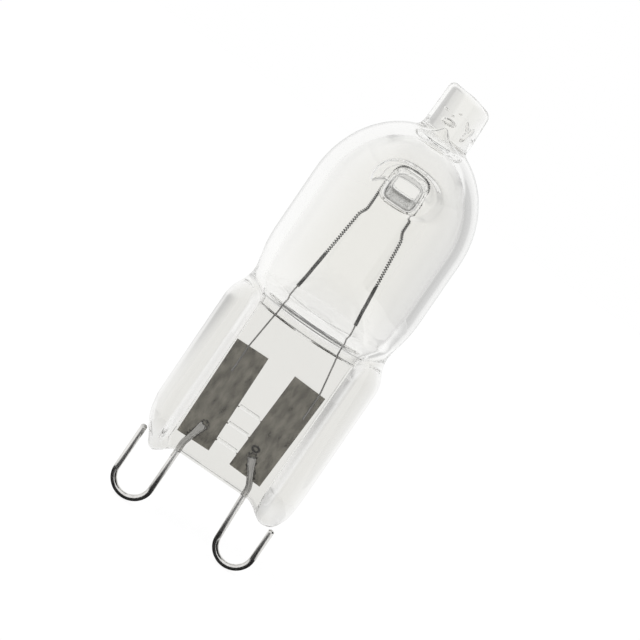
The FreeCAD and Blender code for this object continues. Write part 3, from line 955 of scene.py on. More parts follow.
    def outer_quarter(self, height: float, half: float, half_depth: float) -> tuple[np.ndarray, np.ndarray]:
        """A quarter of one ring of the outer skin below the dome.

        Args:
            height: The ring's height at the rails.
            half: Its half width.
            half_depth: Its half depth once it is round.

        Returns:
            The lines' x and their depth, both positive.
        """
        rail = self.toe_rail + (self.rail - self.toe_rail) * float(ease(self.toe, self.toe_rail_top, height))
        pressed_x, pressed_depth = self.girth.pressed(half, self.web, rail)
        oval_x, oval_depth = self.girth.oval(half, half_depth)
        round_share = float(ease(*self.neck_span, height))
        x = pressed_x + (oval_x - pressed_x) * round_share
        depth = pressed_depth + (oval_depth - pressed_depth) * round_share
        edge = min(max((height - self.toe) / self.foot_round, 0.0), 1.0)
        return x, depth * (0.5 + 0.5 * math.sqrt(1 - (1 - edge) ** 2))

    def outer_ring(self, height: float, left: Curve, right: Curve, deep: Curve) -> np.ndarray:
        """One ring of the outer skin below the dome.

        Args:
            height: The ring's height at the rails.
            left: The left half width at each height.
            right: The right half width at each height.
            deep: The half depth at each height.

        Returns:
            The ring's points.
        """
        x, y = self.girth.ring(*self.outer_quarter(height, float(right(height)), float(deep(height))),
                               *self.outer_quarter(height, float(left(height)), float(deep(height))))
        left_reach, right_reach = self.toe_reach
        toe_reach = np.where(x > 0, right_reach, left_reach)
        rise = np.clip((np.abs(x) - self.foot_flat) / (toe_reach - self.foot_flat), 0.0, 1.0)
        lift = self.foot_lift * (1 - rise * rise * (3 - 2 * rise))
        z = height + lift * (1 - min(max((height - self.toe) / self.foot_lift_height, 0.0), 1.0))
        y = y - np.sign(y) * self.mark_relief(x, z)
        return np.stack([x, y, z], axis=1)

    def mark_relief(self, x: np.ndarray, z: np.ndarray) -> np.ndarray:
        """How far the jaws' marks are pressed into the flat between the foils."""
        sink = sum(np.exp(-(((z - mark) / self.press_width) ** 2)) for mark in self.press_marks)
        return self.press_depth * sink * (1 - ease(*self.press_ends, np.abs(x - self.press_middle)))

    def dome_rings(self, inset: float, stop: float) -> list[Span]:
        """The dome's radius and height from its foot to where it stops.

        Args:
            inset: How far the skin lies inside the outer one.
            stop: The radius where the dome stops.

        Returns:
            Radius and height of each ring.
        """
        radius, rise = self.bulb_radius - inset, self.dome_rise - inset
        last = math.acos(stop / radius)
        low, high = (math.asin((height - self.dome_foot) / rise) for height in self.dimple_span)
        turns = np.concatenate([np.linspace(0.0, low, 9)[1:], np.linspace(low, high, 64)[1:],
                                np.linspace(high, last, 30)[1:]])
        return [(radius * math.cos(turn), self.dome_foot + rise * math.sin(turn)) for turn in turns]

    def tip_rings(self) -> list[tuple[float, float, float, float]]:
        """The exhaust tip's rings, from the dome to its head.

        Returns:
            Half width, half depth, height and share of the slant of each ring.
        """
        start = self.dome_rings(0.0, self.tip_root)[-1]
        bend_rise, end_rise = self.tip_root_rise
        rings = []
        for share in np.linspace(0.0, 1.0, 12)[1:]:
            keep, bend, end = (1 - share) ** 2, 2 * share * (1 - share), share**2
            wide, deep = (keep * start[0] + bend * (half + self.tip_root_draw) + end * half
                          for half in (self.tip_half_width, self.tip_half_depth))
            rise = keep * start[1] + bend * (start[1] + bend_rise) + end * (start[1] + end_rise)
            rings.append((wide, deep, rise, 0.0))
        foot = rings[-1][2]
        neck = self.tip_head - self.tip_head_round
        for share in np.linspace(0.0, 1.0, 11)[1:]:
            wide = self.tip_half_width - self.tip_taper[0] * share
            deep = self.tip_half_depth - self.tip_taper[1] * share
            rings.append((wide, deep, foot + (neck - foot) * share, share**2))
        wide, deep = rings[-1][:2]
        for turn in np.linspace(0.0, math.pi / 2, 12)[1:]:
            pull = self.tip_head_round * (1 - math.cos(turn))
            rings.append((wide - pull, deep - pull, neck + self.tip_head_round * math.sin(turn), 1.0))
        wide, deep = rings[-1][:2]
        for share in (0.75, 0.5, 0.25):
            rings.append((wide * share, deep * share, self.tip_head + self.tip_head_swell * (1 - share), 1.0))
        return rings

    def head_wave(self, x: np.ndarray, y: np.ndarray) -> np.ndarray:
        """How uneven the nipped head of the tip is."""
        return self.tip_head_wave * np.sin(2.3 * x + 1.1) * np.cos(1.7 * y)

    def outside(self) -> bpy.types.Object:
        """Draw the outer skin from the toes to the tip's head.

        Returns:
            The outer skin.
        """
        draft = Draft()
        left, right, deep = self.half_width(Side.LEFT), self.half_width(Side.RIGHT), self.half_depth()
        last = first = None
        for height in self.heights():
            points = self.outer_ring(float(height), left, right, deep)
            points[:, 1] = self.dimple.press_outside(points[:, 0], points[:, 1], points[:, 2])
            last = self.stack(draft, last, points)
            first = last if first is None else first
        for radius, height in self.dome_rings(0.0, self.tip_root):
            x, y = self.girth.ring(*self.girth.oval(radius, radius))
            y = self.dimple.press_outside(x, y, np.full_like(x, height))
            last = self.stack(draft, last, np.stack([x, y, np.full_like(x, height)], axis=1))
        slope = math.tan(math.radians(self.tip_slant))
        for half, depth, height, slant in self.tip_rings():
            x, y = self.girth.ring(*self.girth.oval(half, depth))
            z = height - slope * slant * x + slant * self.head_wave(x, y)
            shift = self.tip_offset * float(ease(*self.tip_offset_span, height))
            last = self.stack(draft, last, np.stack([x + shift, y, z], axis=1))
        draft.fan(last, np.mean([draft.points[i] for i in last], axis=0), upwards=True)
        self.close_across(draft, first)
        return draft.piece("quartz_outside")

    def stack(self, draft: Draft, last: np.ndarray | None, points: np.ndarray) -> np.ndarray:
        """Add a ring and join it to the one below.

        Args:
            draft: The mesh.
            last: The ring below, if there is one.
            points: The new ring's points.

        Returns:
            The new ring's numbers.
        """
        ring = draft.add(points)
        if last is not None:
            draft.skin(last, ring)
        return ring

    def close_across(self, draft: Draft, ring: np.ndarray) -> None:
        """Close the lowest ring by strips that run from front to back.

        Args:
            draft: The mesh.
            ring: The ring's numbers.
        """
        count, quarter = len(ring), self.girth.quarter
        front = [ring[i % count] for i in range(-quarter, quarter + 1)]
        back = [ring[(2 * quarter - i) % count] for i in range(-quarter, quarter + 1)]
        for i in range(2 * quarter):
            corners = [int(back[i]), int(back[i + 1]), int(front[i + 1]), int(front[i])]
            face = tuple(dict.fromkeys(corners))
            if len(face) > 2:
                draft.faces.append(face)

    def inside(self) -> bpy.types.Object:
        """Draw the gas space's skin from its slot to the end of the collapsed bore.

        Returns:
            The inner skin.
        """
        draft = Draft()
        wide, deep = self.gas_half_width(), self.gas_half_depth()
        foot, (draw, drop) = self.slot_foot, self.slot_round
        rings: list[np.ndarray] = []
        for turn in np.linspace(0.25, math.pi / 2, 8):
            rings.append(self.gas_ring(float(wide(foot)) - draw * (1 - math.sin(turn)),
                                       float(deep(foot)) * math.sin(turn), foot - drop * math.cos(turn)))
        spans = ((foot, 18.0, 46), (18.0, 21.6, 8), (21.6, self.dome_foot, 13))
        for height in np.concatenate([np.linspace(low, high, count)[1:] for low, high, count in spans]):
            rings.append(self.gas_ring(float(wide(height)), float(deep(height)), float(height)))
        dome = self.dome_rings(self.wall, self.bore_mouth)
        for radius, height in dome:
            rings.append(self.gas_ring(radius, radius, height))
        for half, height in self.bore_rings(dome[-1]):
            rings.append(self.gas_ring(half, half * self.bore_depth_share, height))
        numbers = [draft.add(ring) for ring in rings]
        merged = self.join_post(draft, numbers)
        for lower, upper in zip(numbers, numbers[1:]):
            draft.skin(lower, upper)
        self.close_across(draft, numbers[0])
        draft.fan(numbers[-1], np.mean([draft.points[i] for i in numbers[-1]], axis=0), upwards=True)
        draft.faces = self.drop_post(draft, merged)
        for centre, reach, lean in self.bubbles:
            self.bubble(draft, centre, reach, lean)
        return draft.piece("quartz_inside", Facing.INWARDS)

    def bore_rings(self, start: Span) -> list[Span]:
        """The collapsed exhaust bore's half width and height from the dome to its closed end.

        Args:
            start: Radius and height where the inner dome stops.

        Returns:
            Half width and height of each ring.
        """
        bore = through([(start[1], start[0]), *self.bore])
        heights = np.linspace(start[1], self.bore[-1][0], 35)[1:]
        return [(float(bore(height)), float(height)) for height in heights]

    def bubble(self, draft: Draft, centre: Triple, reach: Triple,
               lean: float) -> None:
        """Draw one of the bubbles that the collapsed bore left in the tip.

        Args:
            draft: The mesh.
            centre: Its middle.
            reach: Its half width, half depth and half height.
            lean: Degrees that it leans to the right.
        """
        turns = np.linspace(0.0, 2 * math.pi, 24, endpoint=False)
        tilt = math.radians(lean)
        middle = np.array(centre)

        def lean_over(points: np.ndarray) -> np.ndarray:
            """Stretch points of a round ball, lean them and set them in the tip.

            Args:
                points: The ball's points.

            Returns:
                The bubble's points.
            """
            x, y, z = (points * np.array(reach)).T
            return middle + np.stack([x * math.cos(tilt) + z * math.sin(tilt), y,
                                      z * math.cos(tilt) - x * math.sin(tilt)], axis=1)

        rings = []
        for rise in np.linspace(-math.pi / 2, math.pi / 2, 14)[1:-1]:
            ring = np.stack([np.cos(rise) * np.sin(turns), -np.cos(rise) * np.cos(turns),
                             np.full_like(turns, np.sin(rise))], axis=1)
            rings.append(draft.add(lean_over(ring)))
        for lower, upper in zip(rings, rings[1:]):
            draft.skin(lower, upper)
        for ring, pole in ((rings[0], -1.0), (rings[-1], 1.0)):
            draft.fan(ring, lean_over(np.array([[0.0, 0.0, pole]])), upwards=pole > 0)

    def gas_ring(self, half: float, depth: float, height: float) -> np.ndarray:
        """One ring of the gas space's skin, pressed in at the post.

        Args:
            half: Its half width.
            depth: Its half depth.
            height: Its height.

        Returns:
            The ring's points.
        """
        squareness = 2.0 + (self.slot_squareness - 2.0) * float(1 - ease(*self.slot_square_span, height))
        x, y = self.girth.ring(*self.girth.oval(half, depth, squareness))
        sag = self.slot_sag * (1 - (x / self.slot_sag_reach) ** 2) * (1 - ease(*self.slot_sag_span, height))
        z = np.full_like(x, height) - sag
        y = self.dimple.press_inside(x, y, z)
        return np.stack([x, y, z], axis=1)

    def join_post(self, draft: Draft, rings: list[np.ndarray]) -> set[int]:
        """Join the front and back skins at the post's waist.

        Args:
            draft: The mesh.
            rings: The rings' numbers, changed so that both skins share the waist's points.

        Returns:
            The numbers of the points inside the waist.
        """
        merged: set[int] = set()
        quarter = self.girth.quarter
        for ring in rings:
            count = len(ring)
            for i in range(-quarter + 1, quarter):
                front = ring[i % count]
                if abs(draft.points[front][1]) < 1e-9:
                    ring[(2 * quarter - i) % count] = front
                    merged.add(int(front))
        return merged

    def drop_post(self, draft: Draft, merged: set[int]) -> list[tuple[int, ...]]:
        """Leave out the faces inside the waist, and bring the waist's points onto its outline.

        Args:
            draft: The mesh.
            merged: The numbers of the points inside the waist.

        Returns:
            The faces that stay.
        """
        kept = [face for face in draft.faces if not all(i in merged for i in face)]
        rim = {i for face in kept for i in face if i in merged}
        for i in rim:
            x, z = self.dimple.onto_post(draft.points[i][0], draft.points[i][2])
            draft.points[i] = (x, 0.0, z)
        return kept

    def build(self) -> None:
        """Make both skins of the glass and dress them."""
        for piece, finish in ((self.outside(), self.outer_finish), (self.inside(), self.inner_finish)):
            piece.data.materials.append(finish.material())
            seat(piece, "quartz", "quartz_envelope")


@dataclass
class WirePath:
    """A wire's route as close points, with a frame at each."""

    points: np.ndarray

    def __post_init__(self) -> None:
        """Work out the direction and two cross directions at each point."""
        ahead = np.gradient(self.points, axis=0)
        self.along = ahead / np.linalg.norm(ahead, axis=1)[:, None]
        depth = np.tile(np.array([0.0, 1.0, 0.0]), (len(self.points), 1))
        self.across = np.cross(depth, self.along)
        self.across /= np.linalg.norm(self.across, axis=1)[:, None]
        self.depth = np.cross(self.along, self.across)
        steps = np.linalg.norm(np.diff(self.points, axis=0), axis=1)
        self.travel = np.concatenate([[0.0], np.cumsum(steps)])

    def tube(self, draft: Draft, radius: np.ndarray, sides: int, flat: np.ndarray | None = None) -> None:
        """Sweep a round section along the route and close its ends.

        Args:
            draft: The mesh.
            radius: The radius at each point.
            sides: The section's sides.
            flat: How much the section is squeezed front to back at each point, 1 for round.
        """
        flat = np.ones(len(self.points)) if flat is None else flat
        turns = np.linspace(0.0, 2 * math.pi, sides, endpoint=False)
        last = None
        for i, point in enumerate(self.points):
            wide = radius[i] / math.sqrt(flat[i])
            deep = radius[i] * math.sqrt(flat[i])
            sideways = np.outer(np.cos(turns) * wide, self.across[i])
            numbers = draft.add(point + sideways + np.outer(np.sin(turns) * deep, self.depth[i]))
            if last is None:
                draft.fan(numbers, point, upwards=False)
            else:
                draft.skin(last, numbers)
            last = numbers
        draft.fan(last, self.points[-1], upwards=True)


def rounded_route(corners: Sequence[Triple], depth: float, step: float) -> np.ndarray:
    """Draw a route in a plane of even depth with its corners rounded.

    Args:
        corners: Each corner's x, z and bend radius.
        depth: The plane's y.
        step: The spacing of the points.

    Returns:
        The route's points.
    """
    at = [np.array([x, z]) for x, z, _ in corners]
    path = [at[0]]
    for i in range(1, len(at) - 1):
        into, out = at[i] - at[i - 1], at[i + 1] - at[i]
        into, out = into / np.linalg.norm(into), out / np.linalg.norm(out)
        turn = math.acos(float(np.clip(into @ out, -1.0, 1.0)))
        reach = corners[i][2] * math.tan(turn / 2)
        start, end = at[i] - into * reach, at[i] + out * reach
        for share in np.linspace(0.0, 1.0, max(3, int(turn / 0.06) + 2)):
            blend = (1 - share) ** 2 * start + 2 * share * (1 - share) * at[i] + share**2 * end
            path.append(blend)
    path.append(at[-1])
    flat = np.array(path)
    gaps = np.linalg.norm(np.diff(flat, axis=0), axis=1)
    keep = np.concatenate([[True], gaps > 1e-6])
    flat = flat[keep]
    travel = np.concatenate([[0.0], np.cumsum(np.linalg.norm(np.diff(flat, axis=0), axis=1))])
    even = np.linspace(0.0, travel[-1], max(2, int(travel[-1] / step) + 1))
    x, z = np.interp(even, travel, flat[:, 0]), np.interp(even, travel, flat[:, 1])
    return np.stack([x, np.full_like(x, depth), z], axis=1)


@dataclass
class ContactPin:
    """One looped contact pin, with a rounded free end and a squeezed inner end welded to its foil."""

    side: Side
    free_end: float
    elbow_offset: float
    weld_offset: float
    spacing: float = 9.0
    loop_width: float = 3.0
    wire: float = 0.5
    drop: float = 5.25
    elbow: float = 0.75
    elbow_round: float = 1.2
    weld_height: float = 2.7
    end_round: float = 0.14
    end_share: float = 0.55
    squeeze: float = 0.45
    squeeze_span: Span = (0.15, 1.3)

    def route(self) -> WirePath:
        """The wire's route from its free end round the loop to its weld.

        Returns:
            The route.
        """
        sign, half = self.side.value, self.loop_width / 2
        middle, bottom = sign * self.spacing / 2, -self.drop + self.wire / 2 + half
        free = np.stack([np.full(30, middle + sign * half), np.linspace(self.free_end, bottom, 30)], axis=1)
        turn = np.linspace(0.0, math.pi, 44)[1:]
        loop = np.stack([middle + sign * half * np.cos(turn), bottom - half * np.sin(turn)], axis=1)
        inner = rounded_route(
            [(middle - sign * half, bottom, 0.0), (sign * self.elbow_offset, self.elbow, self.elbow_round),
             (sign * self.weld_offset, self.weld_height, 0.0)], 0.0, 0.12)[1:]
        flat = np.concatenate([free, loop, inner[:, [0, 2]]])
        return WirePath(np.stack([flat[:, 0], np.zeros(len(flat)), flat[:, 1]], axis=1))

    def build(self, material: bpy.types.Material) -> None:
        """Sweep the wire, round its free end and squeeze its weld.

        Args:
            material: The pin's finish.
        """
        path = self.route()
        radius = np.full(len(path.points), self.wire / 2)
        near = np.clip(path.travel / self.end_round, 0.0, 1.0)
        radius *= self.end_share + (1 - self.end_share) * np.sqrt(1 - (1 - near) ** 2)
        left = path.travel[-1] - path.travel
        flat = 1 - self.squeeze * (1 - ease(*self.squeeze_span, left))
        draft = Draft()
        path.tube(draft, radius, 20, flat)
        piece = draft.piece(f"{self.side.word}_looped_pin")
        piece.data.materials.append(material)
        seat(piece, "pin_wire", f"{self.side.word}_contact_pin")


# Each crinkle's share, and the turns across, along and by side of its two crossing waves.
CRINKLES = (
    (1.0, (9.0, 5.0, 2.1), (3.0, 17.0, 0.0)),
    (0.6, (23.0, -9.0, 0.0), (0.0, 31.0, 1.3)),
    (0.35, (41.0, 27.0, 0.0), (-19.0, 73.0, 1.0)),
)


@dataclass
class SealFoil:
    """One crinkled sealing foil, thinned to a feather at its edges."""

    side: Side
    offset: float
    lean: float
    width: float = 2.75
    length: float = 8.05
    foot: float = 1.25
    front: float = 0.22
    thickness: float = 0.04
    crinkle: float = 0.018
    columns: int = 64
    rows: int = 180
    feather: float = 0.1
    feather_share: float = 0.25
    weld: tuple[Span, Span] = ((0.0, 0.0), (0.0, 1.0))
    # The painted shadow beside the pin's welded end: its reach from the pin, its lift above the foot and its
    # ragged edge.
    weld_reach: Span = (0.24, 0.35)
    weld_lift: float = 0.15
    ragged: float = 0.09
    spot: Span | None = None
    spot_radius: float = 0.2
    spot_depth: float = 0.05
    spot_stretch: float = 1.3
    spot_width: float = 0.06
    # The width of the painted shade on the spot weld's ring.
    spot_shadow_width: float = 0.07

    def spot_reach(self, across: np.ndarray, up: np.ndarray) -> np.ndarray:
        """How far places on the foil lie from the middle of its spot weld."""
        return np.hypot((across - self.spot[0]) / self.spot_stretch, up - self.spot[1])

    def relief(self, u: np.ndarray, v: np.ndarray) -> np.ndarray:
        """How far the foil's crinkles and the ring of its spot weld stand out.

        Args:
            u: Places across the foil, from -0.5 to 0.5.
            v: Places along it, from 0 to 1.

        Returns:
            The change of depth at each place.
        """
        sign = self.side.value
        depth = np.zeros_like(u)
        for share, *waves in CRINKLES:
            first, second = (np.sin(a * u + b * v + c * sign) for a, b, c in waves)
            depth += self.crinkle * share * first * second
        if self.spot is not None:
            ring = (self.spot_reach(u * self.width, v * self.length) - self.spot_radius) / self.spot_width
            depth -= self.spot_depth * np.exp(-(ring**2))
        return depth

    def scorched(self, x: float, z: float, across: float, up: float) -> bool:
        """Whether a place on the foil takes the painted shadow.

        Args:
            x: The place's x on the bulb.
            z: The place's z on the bulb.
            across: The place across the foil.
            up: The place along the foil.

        Returns:
            True in a band beside the pin's welded end, a painted shadow of the pin, and on the ring of the
            spot weld's dent, painted shade in that dent.
        """
        start, end = (np.array(point) for point in self.weld)
        run = end - start
        along = float(np.clip((np.array([x, z]) - start) @ run / (run @ run), 0.0, 1.0))
        reach = float(np.linalg.norm(np.array([x, z]) - start - along * run))
        ragged = self.ragged * math.sin(21.0 * x + 8.0 * z) * math.sin(13.0 * z - 5.0 * x)
        near, far = self.weld_reach
        beside = near < reach + ragged < far and z > self.foot + self.weld_lift
        if self.spot is None:
            return beside
        return beside or abs(float(self.spot_reach(across, up)) - self.spot_radius) < self.spot_shadow_width

    def build(self, material: bpy.types.Material, weld_shadow: bpy.types.Material) -> None:
        """Draw the foil's two faces, crinkle them, set the foil behind its pin and paint shadow beside its
        weld and round its spot weld.

        Args:
            material: The foil's finish.
            weld_shadow: The dark finish painted as shadow beside the weld and round the spot weld.
        """
        sign = self.side.value
        u, v = np.meshgrid(np.linspace(-0.5, 0.5, self.columns), np.linspace(0.0, 1.0, self.rows))
        edge = np.minimum(0.5 - np.abs(u), self.feather) / self.feather
        half = self.thickness / 2 * (self.feather_share + (1 - self.feather_share) * edge)
        middle = self.front + self.thickness / 2 + self.relief(u, v)
        lean = math.radians(self.lean) * sign
        across, up = u * self.width, v * self.length
        x = sign * self.offset + across * math.cos(lean) + up * math.sin(lean)
        z = self.foot - across * math.sin(lean) + up * math.cos(lean)
        draft = Draft()
        grids = []
        for way in (-1, 1):
            y = middle + way * half
            numbers = draft.add(np.stack([x.ravel(), y.ravel(), z.ravel()], axis=1)).reshape(u.shape)
            grids.append(numbers)
            for lower, upper in zip(numbers, numbers[1:]):
                draft.skin(*((lower, upper) if way < 0 else (upper, lower)), closed=False)
        near, far = grids
        rims = [(near[0], far[0]), (far[-1], near[-1]), (far[:, 0], near[:, 0]), (near[:, -1], far[:, -1])]
        for a, b in rims:
            draft.skin(b, a, closed=False)
        piece = draft.piece(f"{self.side.word}_foil_strip")
        piece.data.materials.append(material)
        piece.data.materials.append(weld_shadow)
        # Painted shadow: faces beside the weld and on the spot weld's ring take the dark finish.
        for face in piece.data.polygons:
            px, _, pz = face.center / MM
            shift, rise = px - sign * self.offset, pz - self.foot
            face.material_index = int(self.scorched(px, pz, shift * math.cos(lean) - rise * math.sin(lean),
                                                    shift * math.sin(lean) + rise * math.cos(lean)))
        seat(piece, "seal_foil", f"{self.side.word}_seal_foil")


@dataclass
class InnerLead:
    """One thin lead from its weld on the foil up into the filament's leg."""

    side: Side
    foot_offset: float
    foot: float = 7.05
    foil_head: float = 9.3
    neck_offset: float = 2.68
    neck: float = 12.6
    leg_offset: float = 2.49
    leg: float = 15.0
    core_offset: float = 2.2
    core: float = 18.0
    bend: float = 2.0
    wire: float = 0.12
    depth: float = 0.19
    squeeze: float = 0.4
    squeeze_span: Span = (0.4, 1.4)

    def build(self, material: bpy.types.Material) -> None:
        """Sweep the lead and squeeze its foot.

        Args:
            material: The lead's finish.
        """
        sign = self.side.value
        route = rounded_route(
            [(sign * self.foot_offset, self.foot, 0.0), (sign * self.foot_offset, self.foil_head, self.bend),
             (sign * self.neck_offset, self.neck, self.bend), (sign * self.leg_offset, self.leg, self.bend),
             (sign * self.core_offset, self.core, 0.0)], self.depth, 0.12)
        path = WirePath(route)
        flat = 1 - self.squeeze * (1 - ease(*self.squeeze_span, path.travel))
        draft = Draft()
        path.tube(draft, np.full(len(route), self.wire / 2), 10, flat)
        piece = draft.piece(f"{self.side.word}_lead_wire")
        piece.data.materials.append(material)
        seat(piece, "lead_wire", f"{self.side.word}_inner_lead")


@dataclass
class Filament:
    """The wound coil: up one leg, over the glass post and down the other."""

    leg_spacing: float = 4.98
    leg_foot: float = 15.0
    kink_spacing: float = 3.66
    kink: float = 22.1
    kink_rise: float = 0.6
    kink_round: float = 0.35
    bight: float = 1.53
    bight_top: float = 26.67
    bight_round: float = 1.07
    coil: float = 0.3
    strand: float = 0.085
    depth: float = 0.19
    close_pitch: float = 0.078
    opening: float = 0.125
    opening_span: Span = (17.8, 18.4)
    closing: float = 0.06
    closing_span: Span = (21.6, 22.4)
    slimming: float = 0.08
    slimming_span: Span = (20.8, 23.0)
    points_a_turn: int = 11
    strand_sides: int = 5

    def route(self) -> WirePath:
        """The coil's middle line.

        Returns:
            The route from the left leg's foot to the right one's.
        """
        low, high = self.kink - self.kink_rise / 2, self.kink + self.kink_rise / 2
        half, inner = self.leg_spacing / 2, self.kink_spacing / 2
        up = rounded_route(
            [(-half, self.leg_foot, 0.0), (-inner, low, self.kink_round),
             (-self.bight, high, self.kink_round), (-self.bight, self.bight_top, self.bight_round),
             (0.0, self.bight_top, 0.0)], self.depth, 0.02)
        down = up[-2::-1] * np.array([-1.0, 1.0, 1.0])
        return WirePath(np.concatenate([up, down]))

    def pitch(self, height: np.ndarray) -> np.ndarray:
        """The coil's pitch: close over the leads, open above them and closer again past the kink."""
        opened = self.close_pitch + self.opening * ease(*self.opening_span, height)
        return opened - self.closing * ease(*self.closing_span, height)

    def build(self, material: bpy.types.Material) -> None:
        """Wind the strand round the route.

        Args:
            material: The coil's finish.
        """
        path = self.route()
        winding = 2 * math.pi * np.concatenate([
            [0.0], np.cumsum(np.diff(path.travel) / self.pitch(path.points[1:, 2]))])
        count = int(winding[-1] / (2 * math.pi) * self.points_a_turn)
        turns = np.linspace(0.0, winding[-1], count)
        travel = np.interp(turns, winding, path.travel)
        middle, across, depth = (
            np.stack([np.interp(travel, path.travel, rows[:, i]) for i in range(3)], axis=1)
            for rows in (path.points, path.across, path.depth)
        )
        slim = 1 - self.slimming * ease(*self.slimming_span, middle[:, 2])
        reach = (self.coil - self.strand) / 2 * slim
        strand = middle + across * (np.cos(turns) * reach)[:, None] + depth * (np.sin(turns) * reach)[:, None]
        draft = Draft()
        WirePath(strand).tube(draft, np.full(count, self.strand / 2) * slim, self.strand_sides)
        piece = draft.piece("filament_coil")
        piece.data.materials.append(material)
        seat(piece, "tungsten", "filament")


@dataclass(frozen=True)
class Card:
    """A grey card whose shade fades to white along two of its own directions."""

    name: str
    corners: tuple[Triple, ...]
    shade: float
    fades: tuple[tuple[str, Profile], ...] = ()
    glass_only: bool = False

    def material(self) -> bpy.types.Material:
        """Make the card's shade.

        Returns:
            The material: white less the card's darkness, which the fades take away.
        """
        sheet = NodeSheet(bpy.data.materials.new(self.name))
        parts = sheet.parts("Generated")
        fades = [sheet.shares(parts, axis, stops) for axis, stops in self.fades]
        for fade in fades:
            fade.color_ramp.interpolation = "EASE"
        white = sheet.add("Math", operation="MULTIPLY_ADD")
        sheet.join(sheet.product(*((fade, "Color") for fade in fades)), 0, white, 0)
        white.inputs[1].default_value = self.shade - 1.0
        white.inputs[2].default_value = 1.0
        glow = sheet.add("Emission")
        sheet.join(white, "Value", glow, "Color")
        return sheet.finish(glow)


CARDS = (
    Card(
        "right_dark_card",
        ((60.0, -170.0, -5.2), (60.5, 45.0, -5.2), (60.5, 45.0, 180.0), (60.0, -170.0, 180.0)), 0.015,
        (("Y", ((0.0, 0.0), (0.15, 1.0), (0.8, 1.0), (1.0, 0.0))),
         ("Z", ((0.0, 1.0), (0.6, 1.0), (1.0, 0.0)))),
    ),
    Card(
        "low_dark_card",
        ((-14.0, -60.0, -5.28), (16.0, -60.0, -5.28), (16.0, 3.0, -5.28), (-14.0, 3.0, -5.28)), 0.02,
        (("Y", ((0.0, 0.0), (0.7, 1.0), (1.0, 1.0))),),
    ),
    Card(
        "top_flag",
        ((-110.0, -100.0, 150.0), (110.0, -100.0, 150.0), (110.0, 80.0, 150.0), (-110.0, 80.0, 150.0)), 0.05,
        (("X", ((0.0, 0.0), (0.3, 1.0), (0.7, 1.0), (1.0, 0.0))),
         ("Y", ((0.0, 0.0), (0.3, 1.0), (0.7, 1.0), (1.0, 0.0)))), glass_only=True,
    ),
    Card(
        "right_flag",
        ((14.0, 150.0, -5.2), (160.0, 96.0, -5.2), (160.0, 96.0, 125.2), (14.0, 150.0, 125.2)), 0.62,
        (("X", ((0.0, 0.0), (0.1, 0.25), (0.3, 0.5), (0.42, 1.0), (0.72, 1.0), (1.0, 0.0))),
         ("Z", ((0.0, 1.0), (0.8, 1.0), (1.0, 0.0)))), glass_only=True,
    ),
    Card(
        "table_flag",
        ((14.0, 150.0, -5.22), (6.0, 40.0, -5.22), (90.0, 30.0, -5.22), (160.0, 96.0, -5.22)), 0.62,
        (("X", ((0.0, 0.0), (0.3, 1.0), (0.5, 0.8), (1.0, 0.0))),
         ("Y", ((0.0, 0.0), (0.6, 1.0), (1.0, 1.0)))), glass_only=True,
    ),
)


